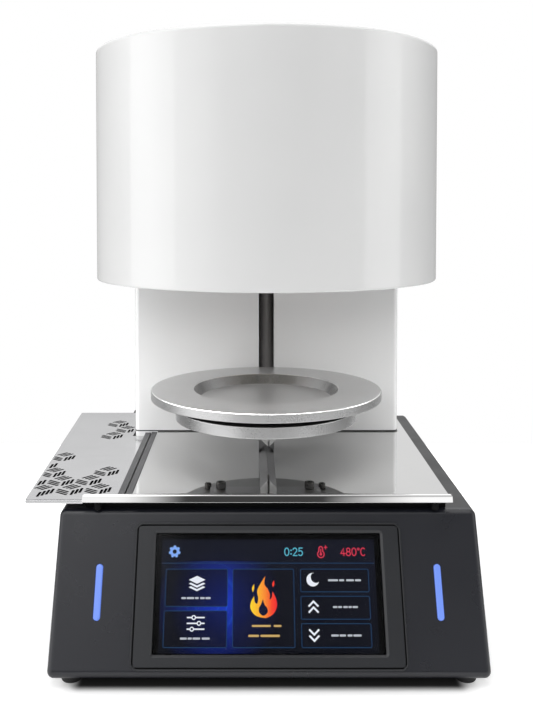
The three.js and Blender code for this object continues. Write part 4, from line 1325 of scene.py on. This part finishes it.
TABLE_R, TABLE_Z, TABLE_T = 95.7, 182.4, 7.4
TB = TABLE_Z - TABLE_T
TABLE = put("firing_table_fine", turned([[0, 170], [66, 170, 0.6], [66, TB, 0.5], [TABLE_R, TB, 0.7], [TABLE_R, TABLE_Z, 1.1],
                                 [60.5, TABLE_Z, 1.0], [54.5, TABLE_Z - 8, 1.5], [0, TABLE_Z - 8]], 256, steps=6), ALU,
    "firing_table", angle=26)
RING = put("table_ring_fine", turned([[0, 157.9], [75.5, 157.9, 0.8], [75.5, 167.15, 0.7], [0, 167.15]], 224, steps=6), ALU,
    "table_ring", angle=26)
for ob_ in (TABLE, RING):
    ob_.data.materials.append(ALU_RIM_PAINTED_TONE)
    ob_.data.materials.append(ALU_RECESS_SHADE)
    ob_.data.materials.append(ALU_BEVEL_HIGHLIGHT)
    ob_.data.materials.append(ALU_GAP_SHADE)
    for f in ob_.data.polygons:
        away = Vector((f.center.x - OX / 1000, f.center.y - OY / 1000)).length
        if (ob_ is TABLE and (f.normal.z < -0.5 or away > 0.0655) and f.center.z < (TB + 0.05) / 1000 and away < 0.079) or (ob_ is RING and f.normal.z > 0.9):
            f.material_index = 4        # painted shade: the two faces of the gap take a near-black copy of the metal
        elif 0.2 < f.normal.z < 0.97 and (away > 0.07 or f.center.z > (TABLE_Z - 0.6) / 1000):
            # painted highlight on the rounded top edges
            f.material_index = 3
        elif abs(f.normal.z) < 0.85:
            # side faces: the rim takes its own painted tone, the recess walls a painted shade
            f.material_index = 1 if away > 0.065 else 2
for k in range(3):
    a = PI / 2 + k * 2 * PI / 3
    put("table_spacer_%d_fine" % (k + 1), turned([[0, 167.35], [6, 167.35, 0.4], [6, 169.8, 0.4], [0, 169.8]], 40,
                                                 44 * math.cos(a), 44 * math.sin(a)), SCREW_PLAIN, "table_spacer_%d" % (k + 1))
put("bracket_plate_fine", slab(rect(96, 72, 3, 0, 0, 6), 153.6, 157.6, b=0.5, steps=4), ALU_FLAT, "bracket_plate")
FLIP = basis((1, 0, 0), (0, -1, 0), (0, 0, -1))
for n, x, y in (("front_left", -38.6, -22), ("front_right", 38.6, -22), ("rear_left", -38.6, 31.3), ("rear_right", 38.6, 31.3)):
    head = slab(circle(4.2, 40), 0, 5.5, b=0.25, b_top=0.6, steps=4, blind=[(circle(2.3, 6), 2.6)])
    put("table_bolt_%s_fine" % n, head.move(Matrix.Translation((x, y, 153.3)) @ FLIP), BOLT, "table_bolt_" + n,
        angle=26)
for n, x in (("left", -50.5), ("right", 50.5)):
    head = slab(circle(3.0, 32), 0, 5.0, b=0.25, b_top=0.5, steps=3, blind=[(circle(1.6, 6), 2.2)])
    put("ring_bolt_%s" % n, head.move(Matrix.Translation((x, 43, 157.7)) @ FLIP), BOLT,
        body=nodes["table_ring"]["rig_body"], angle=26)
arm = solid("arm", slab(arc_path([[COL_X - 6.8, 153.3, 0.4], [COL_X - 6.8, 140.9, 0.8], [COL_X, 134.0, 0.5],
                                  [COL_X + 6.8, 140.9, 0.8], [COL_X + 6.8, 153.3, 0.4]], True, 4),
                        -105.2, 8, b=0.5, steps=3).move(XZY))
cut(arm, [solid("t", cube(COL_X - 0.8, COL_X + 0.8, -12, 10, 120, 150))])
ARM = put("lift_arm_fine", arm, ALU_FLAT, "lift_arm", angle=28)
ARM.data.materials.append(ALU_TIP_HIGHLIGHT)
# painted highlight: faces turned to the front take the bright copy
for f in ARM.data.polygons:
    if f.normal.y < -0.5:
        f.material_index = 1

# =====================================================================
# drum
# =====================================================================
R, Z0, Z1, T = DRUM_R, DRUM_Z0, DRUM_Z1, DRUM_T
put("drum_shell_fine", turned([[R - 9, Z0, 0.5], [R, Z0, 1.4], [R, Z1, 3.2], [R - 12, Z1, 0.5], [R - 12, Z1 - T, 0.4],
                               [R - T, Z1 - T, 1.6], [R - T, Z0 + T, 0.6], [R - 9, Z0 + T, 0.4]], 320, closed=True, steps=7),
    ENAMEL, "drum_shell", angle=26)
slots = []
for k in range(12):
    a = math.radians(15 + 30 * k)
    base = rect(34, 3.2, 1.55, 79, 0, 6)
    slots.append([Vector((p.x * math.cos(a) - p.y * math.sin(a), p.x * math.sin(a) + p.y * math.cos(a))) for p in base])
put("drum_lid_fine", slab(circle(R - 12.4, 256), Z1 - 2.2, Z1 - 0.4, slots, b=0.4, steps=3), ENAMEL, "drum_lid")
put("drum_base_ring_fine", turned([[62, 275.4, 0.4], [75.7, 275.4, 0.2], [75.7, 277.3], [82.3, 277.3], [82.3, 275.4, 0.2],
                                   [R - 9.4, 275.4, 0.3], [R - 9.4, 278.4, 0.3], [62, 278.4, 0.4]], 256, closed=True, steps=3),
    ENAMEL, "drum_base_ring", angle=26)
put("chamber_seal_fine", turned([[76, 274.3, 1.2], [82, 274.3, 1.2], [82, 277, 0.4], [76, 277, 0.4]], 192, closed=True,
                                steps=5), SEAL, "chamber_seal")
put("muffle_wall_fine", turned([[58, 278.7, 1.5], [97, 278.7, 0.8], [97, 386, 0.8], [58, 386, 0.8]], 192, closed=True,
                               steps=4), FIBRE, "muffle_wall")
put("muffle_top_fine", slab(circle(97, 192), 386.3, 410, [circle(2.9, 24, 22, 0)], b=0.8, steps=3), FIBRE, "muffle_top")
coil = [(53.2 * math.cos(2 * PI * 5 * t / 300), 53.2 * math.sin(2 * PI * 5 * t / 300), 296 + 76 * t / 300) for t in range(301)]
put("heating_coil_fine", tube(coil, 1.9, 16), QUARTZ, "heating_coil")
put("thermocouple_fine", turned([[0, 368], [2.3, 368, 1.0], [2.3, 410.4], [5.5, 410.4, 0.5], [5.5, 428, 0.8], [0, 428]], 40,
                                22, 0), SHEATH, "thermocouple")

# =====================================================================
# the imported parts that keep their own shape
# =====================================================================
KEPT = {
    "sub_board": BLACK, "tray_runner_front": ZINC, "tray_runner_rear": ZINC, "column_back": ENAMEL, "lift_frame": ZINC,
    "upper_bearing_block": ALU_FLAT, "lower_bearing_block": ALU_FLAT, "shaft_coupling": ALU_FLAT, "lift_motor": MOTOR,
    "drum_bracket": ZINC, "lift_carriage": ALU_FLAT, "control_board": BOARD, "power_module": ZINC, "fan_frame": PLASTIC,
    "fan_rotor": PLASTIC, "power_inlet": PLASTIC, "switch_housing": PLASTIC, "power_switch": SWITCH,
}
for n, m_ in KEPT.items():
    ob = nodes[n]
    ob.data.materials.clear()
    ob.data.materials.append(m_)

# =====================================================================
# stage, light, camera
# =====================================================================
floor_me = bpy.data.meshes.new("bench")
fx, fy0, fy1 = 0.46, -0.46, 0.46
steps_x = [-fx, -0.3, -0.15, 0.0, 0.15, 0.3, fx]
steps_y = [fy0, -0.3, -0.15, 0.0, 0.15, 0.3, fy1]
fv = [(x, y, -0.0002) for y in steps_y for x in steps_x]
nx = len(steps_x)
ff = [(j * nx + i, j * nx + i + 1, (j + 1) * nx + i + 1, (j + 1) * nx + i) for j in range(len(steps_y) - 1) for i in range(nx - 1)]
floor_me.from_pydata(fv, [], ff)
floor = bpy.data.objects.new("bench", floor_me)
bpy.context.scene.collection.objects.link(floor)
# a pale bench with a painted glow that rises away from the housing's footprint and a painted contact shadow darkening
# it right round the footprint
fm = Mat("bench_white", Roughness=0.6, Specular_IOR_Level=0.2)
fsep = fm.node("ShaderNodeSeparateXYZ")
fm.link(fm.tc.outputs["Object"], fsep.inputs[0])
ex = fm.math("SUBTRACT", fm.math("ABSOLUTE", fm.math("SUBTRACT", fsep.outputs["X"], OX / 1000)), 0.131)
ey = fm.math("SUBTRACT", fm.math("ABSOLUTE", fm.math("SUBTRACT", fsep.outputs["Y"], 0.0)), 0.1735)
ex, ey = fm.math("MAXIMUM", ex, 0.0), fm.math("MAXIMUM", ey, 0.0)
edge = fm.math("SQRT", fm.math("ADD", fm.math("MULTIPLY", ex, ex), fm.math("MULTIPLY", ey, ey)))
# painted light: the bench glows more the further it is from the footprint
painted_floor_glow = fm.math("ADD", fm.remap(edge, 0.0, 0.35, 0.002, 0.017), fm.remap(edge, 0.0, 0.16, 0.014, 0.075))
# painted shadow: the bench darkens to near black right round the footprint
contact_shadow_paint = fm.node("ShaderNodeMapRange", interpolation_type="SMOOTHSTEP")
for k_, v_ in (("From Min", 0.0), ("From Max", 0.011), ("To Min", 0.03), ("To Max", 0.86)):
    contact_shadow_paint.inputs[k_].default_value = v_
fm.link(edge, contact_shadow_paint.inputs["Value"])
shadowed_floor_tone = fm.math("MULTIPLY", contact_shadow_paint.outputs["Result"], fm.remap(fm.noise(3, 2), 0.985, 1.0))
grey = fm.node("ShaderNodeCombineColor")
for c_ in ("Red", "Green", "Blue"):
    fm.link(shadowed_floor_tone, grey.inputs[c_])
fm.color(grey.outputs[0])
fm.set("Emission Color", (1.0, 1.0, 1.0))
fm.link(painted_floor_glow, fm.b.inputs["Emission Strength"])
floor_me.materials.append(fm.mat)

world = bpy.data.worlds.new("studio")
bpy.context.scene.world = world
world.use_nodes = True
wn = world.node_tree
for n in list(wn.nodes):
    wn.nodes.remove(n)


def wnode(kind, **kw):
    n = wn.nodes.new(kind)
    for k, v in kw.items():
        setattr(n, k, v)
    return n


def wrange(value, a, b, lo, hi, smooth=True):
    r = wnode("ShaderNodeMapRange", interpolation_type="SMOOTHSTEP" if smooth else "LINEAR")
    for k, v in (("From Min", lo), ("From Max", hi), ("To Min", a), ("To Max", b)):
        r.inputs[k].default_value = v
    wn.links.new(value, r.inputs["Value"])
    return r.outputs["Result"]


def wmath(op, a, b):
    n = wnode("ShaderNodeMath", operation=op)
    for i, x in enumerate((a, b)):
        if isinstance(x, (int, float)):
            n.inputs[i].default_value = x
        else:
            wn.links.new(x, n.inputs[i])
    return n.outputs[0]


wtc = wnode("ShaderNodeTexCoord")
wsep = wnode("ShaderNodeSeparateXYZ")
wn.links.new(wtc.outputs["Generated"], wsep.inputs[0])
WX, WY, WZ = wsep.outputs["X"], wsep.outputs["Y"], wsep.outputs["Z"]
az = wmath("MULTIPLY", wmath("ARCTAN2", WX, wmath("MULTIPLY", WY, -1.0)), 180 / PI)
el = wmath("MULTIPLY", wmath("ARCSINE", WZ, 0.0), 180 / PI)
# in front: two wide pale panels with a dark gap between them, above the horizon
left_p = wmath("MULTIPLY", wrange(az, 1.0, 0.0, -9.0, -3.5), wrange(az, 0.8, 1.0, -62.0, -44.0))
right_p = wmath("MULTIPLY", wrange(az, 0.0, 1.0, 4.5, 11.0, False), wrange(az, 1.0, 0.7, 40.0, 58.0))
gap = wrange(el, 0.07, 0.9, 24.0, 62.0)
# the lip mirrors 22 degrees up; the slanted panel mirrors 26 (its foot) to 34 (its top)
left_v = wmath("ADD", wrange(el, 1.4, 0.6, 24.3, 26.5), wrange(el, 0.0, 1.9, 27.5, 36.0))
panels = wmath("ADD", wmath("MULTIPLY", left_p, left_v), wmath("MULTIPLY", right_p, wmath("MULTIPLY", wrange(el, 0.3, 1.5, 17.5, 20.0), wrange(el, 1.0, 0.2, 24.0, 26.0))))
high = wmath("MAXIMUM", gap, panels)
side_left = wmath("MULTIPLY", wrange(az, 0.0, 1.0, -25.0, -45.0), wrange(az, 0.0, 1.0, -125.0, -100.0))
ahead = wmath("MULTIPLY", wmath("MULTIPLY", wrange(az, 0.0, 1.0, -40.0, -25.0), wrange(az, 1.0, 0.0, 25.0, 40.0)), wrange(el, 0.0, 1.0, -7.0, 1.0))
low = wmath("ADD", wmath("MULTIPLY", wrange(el, 0.42, 0.6, -14.0, 8.0), wmath("SUBTRACT", 1.0, wmath("MULTIPLY", ahead, 0.7))), wmath("MULTIPLY", side_left, wrange(el, 0.55, 0.35, -14.0, 8.0)))
front = wnode("ShaderNodeMix", data_type="FLOAT")
wn.links.new(wrange(el, 0.0, 1.0, 11.0, 19.0), front.inputs["Factor"])
wn.links.new(wmath("MULTIPLY", low, wrange(az, 1.0, 0.8, 35.0, 62.0)), front.inputs["A"])
wn.links.new(high, front.inputs["B"])
whole = wnode("ShaderNodeMix", data_type="FLOAT")
wn.links.new(wrange(WY, 0.0, 1.0, -0.25, 0.35), whole.inputs["Factor"])
wn.links.new(front.outputs["Result"], whole.inputs["A"])
# behind: bright straight back, a little less to the sides
aside = wmath("ABSOLUTE", az, 0.0)
wn.links.new(wmath("MULTIPLY", wrange(aside, 0.55, 0.93, 120.0, 160.0), wrange(el, 0.42, 1.0, 9.0, 14.0)), whole.inputs["B"])
level = whole.outputs["Result"]
path = wnode("ShaderNodeLightPath")
# what lights is dimmer than what is mirrored, so that the boxes draw the shadows
level = wmath("MULTIPLY", level, wmath("SUBTRACT", 1.0, wmath("MULTIPLY", path.outputs["Is Diffuse Ray"], 0.53)))
mixv = wnode("ShaderNodeMix", data_type="FLOAT")
wn.links.new(path.outputs["Is Camera Ray"], mixv.inputs["Factor"])
wn.links.new(level, mixv.inputs["A"])
mixv.inputs["B"].default_value = 1.0
bg = wnode("ShaderNodeBackground")
bg.inputs["Color"].default_value = (1, 1, 1, 1)
wn.links.new(mixv.outputs["Result"], bg.inputs["Strength"])
wout = wnode("ShaderNodeOutputWorld")
wn.links.new(bg.outputs[0], wout.inputs["Surface"])

AXIS = Vector((OX / 1000, OY / 1000, 0))


def softbox(name, az, dist, z, w, h, radiance, tilt=0.0, tint_=(1, 1, 1)):
    """A rectangular light facing the drum's axis, az degrees round from the front."""
    d = bpy.data.lights.new(name, "AREA")
    d.shape = "RECTANGLE"
    d.size, d.size_y = w, h
    d.energy = radiance * PI * w * h
    d.color = tint_
    ob = bpy.data.objects.new(name, d)
    a = math.radians(az)
    ob.location = AXIS + Vector((math.sin(a) * dist, -math.cos(a) * dist, z))
    target = AXIS + Vector((0, 0, z - dist * math.tan(math.radians(tilt))))
    ob.rotation_mode = "QUATERNION"
    ob.rotation_quaternion = (target - ob.location).to_track_quat("-Z", "Y")
    ob.visible_camera = False
    bpy.context.scene.collection.objects.link(ob)
    return ob


# two tall boxes that the lacquer mirrors, and two wide fills that only light
for box in (softbox("box_left", -77, 1.5, 0.72, 1.0, 1.4, 1.0), softbox("box_right", 77, 1.5, 0.72, 0.8, 1.4, 1.0)):
    box.visible_diffuse = False
for box in (softbox("fill_left", -98, 1.6, 0.85, 1.1, 0.8, 5.6), softbox("fill_right", 100, 1.6, 0.85, 1.0, 0.8, 5.6),
            softbox("fill_front", -2, 1.6, 0.78, 1.1, 0.5, 5.8)):
    box.visible_glossy = False
    # the touch glass would still mirror them, so it is left out of what they light
    unlit = bpy.data.collections.new(box.name + "_unlit")
    bpy.context.scene.collection.children.link(unlit)
    unlit.objects.link(bpy.data.objects["display_glass_fine"])
    box.light_linking.receiver_collection = unlit
    for member in unlit.collection_objects:
        member.light_linking.link_state = "EXCLUDE"
def card(name, place, aim, w, h, radiance):
    """A small card close to the tower's foot, throwing back what the polished plate would."""
    ob = softbox(name, 0, 1, 0, w, h, radiance)
    ob.location = Vector(place)
    ob.rotation_quaternion = (Vector(aim) - Vector(place)).to_track_quat("-Z", "Y")
    ob.visible_glossy = False
    return ob


card_left = card("card_left", (-0.19, -0.05, 0.125), (-0.06, 0.0566, 0.135), 0.12, 0.05, 7.6)
card_right = card("card_right", (0.225, -0.05, 0.125), (0.09, 0.0566, 0.15), 0.12, 0.05, 3.6)
# a soft box high in front for the turned table alone: the drum keeps it off the table's rear half
high = [softbox("table_box_%d" % k, a, 1.15, 1.25, 1.0, 0.4, r, 42) for k, a, r in ((1, -66, 11.0), (2, -12, 14.0), (3, 40, 8.0))]
high += [softbox("table_side_1", -103, 1.0, 0.62, 0.6, 0.3, 4.6, 24), softbox("table_side_2", 103, 1.0, 0.62, 0.6, 0.3, 3.6, 24)]
recess = softbox("table_recess", -58, 0.55, 1.15, 0.4, 0.4, 6.5, 60)
high.append(recess)
for box, what in ((card_left, ("column_cover_fine",)), (card_right, ("column_cover_fine",)), *[(box, ("firing_table_fine", "table_ring_fine", "lift_arm_fine")) for box in high]):
    lit = bpy.data.collections.new(box.name + "_lit")
    bpy.context.scene.collection.children.link(lit)
    for name in what:
        lit.objects.link(bpy.data.objects[name])
    box.light_linking.receiver_collection = lit
    if box is recess:
        box.light_linking.blocker_collection = lit
top = bpy.data.lights.new("box_top", "AREA")
top.shape = "RECTANGLE"
top.size, top.size_y = 1.6, 1.6
top.energy = 1.1 * PI * 1.6 * 1.6
top_ob = bpy.data.objects.new("box_top", top)
top_ob.location = (0.0, 0.1, 1.9)
top_ob.visible_camera = False
bpy.context.scene.collection.objects.link(top_ob)

cam = bpy.data.cameras.new("camera")
cam_ob = bpy.data.objects.new("camera", cam)
bpy.context.scene.collection.objects.link(cam_ob)
cam.sensor_width = 36
cam.sensor_fit = "AUTO"
cam.lens = 46.076
cam.shift_x, cam.shift_y = 0.0232, -0.1698
cam.clip_start, cam.clip_end = 0.05, 50
cam_ob.location = (0.0042, -0.79836, 0.3365)
cam_ob.rotation_euler = (math.radians(88), 0, 0)
bpy.context.scene.camera = cam_ob
bpy.context.scene.view_settings.view_transform = "Standard"
bpy.context.scene.view_settings.look = "None"
bpy.context.scene.view_settings.exposure = 0
bpy.context.scene.view_settings.gamma = 1
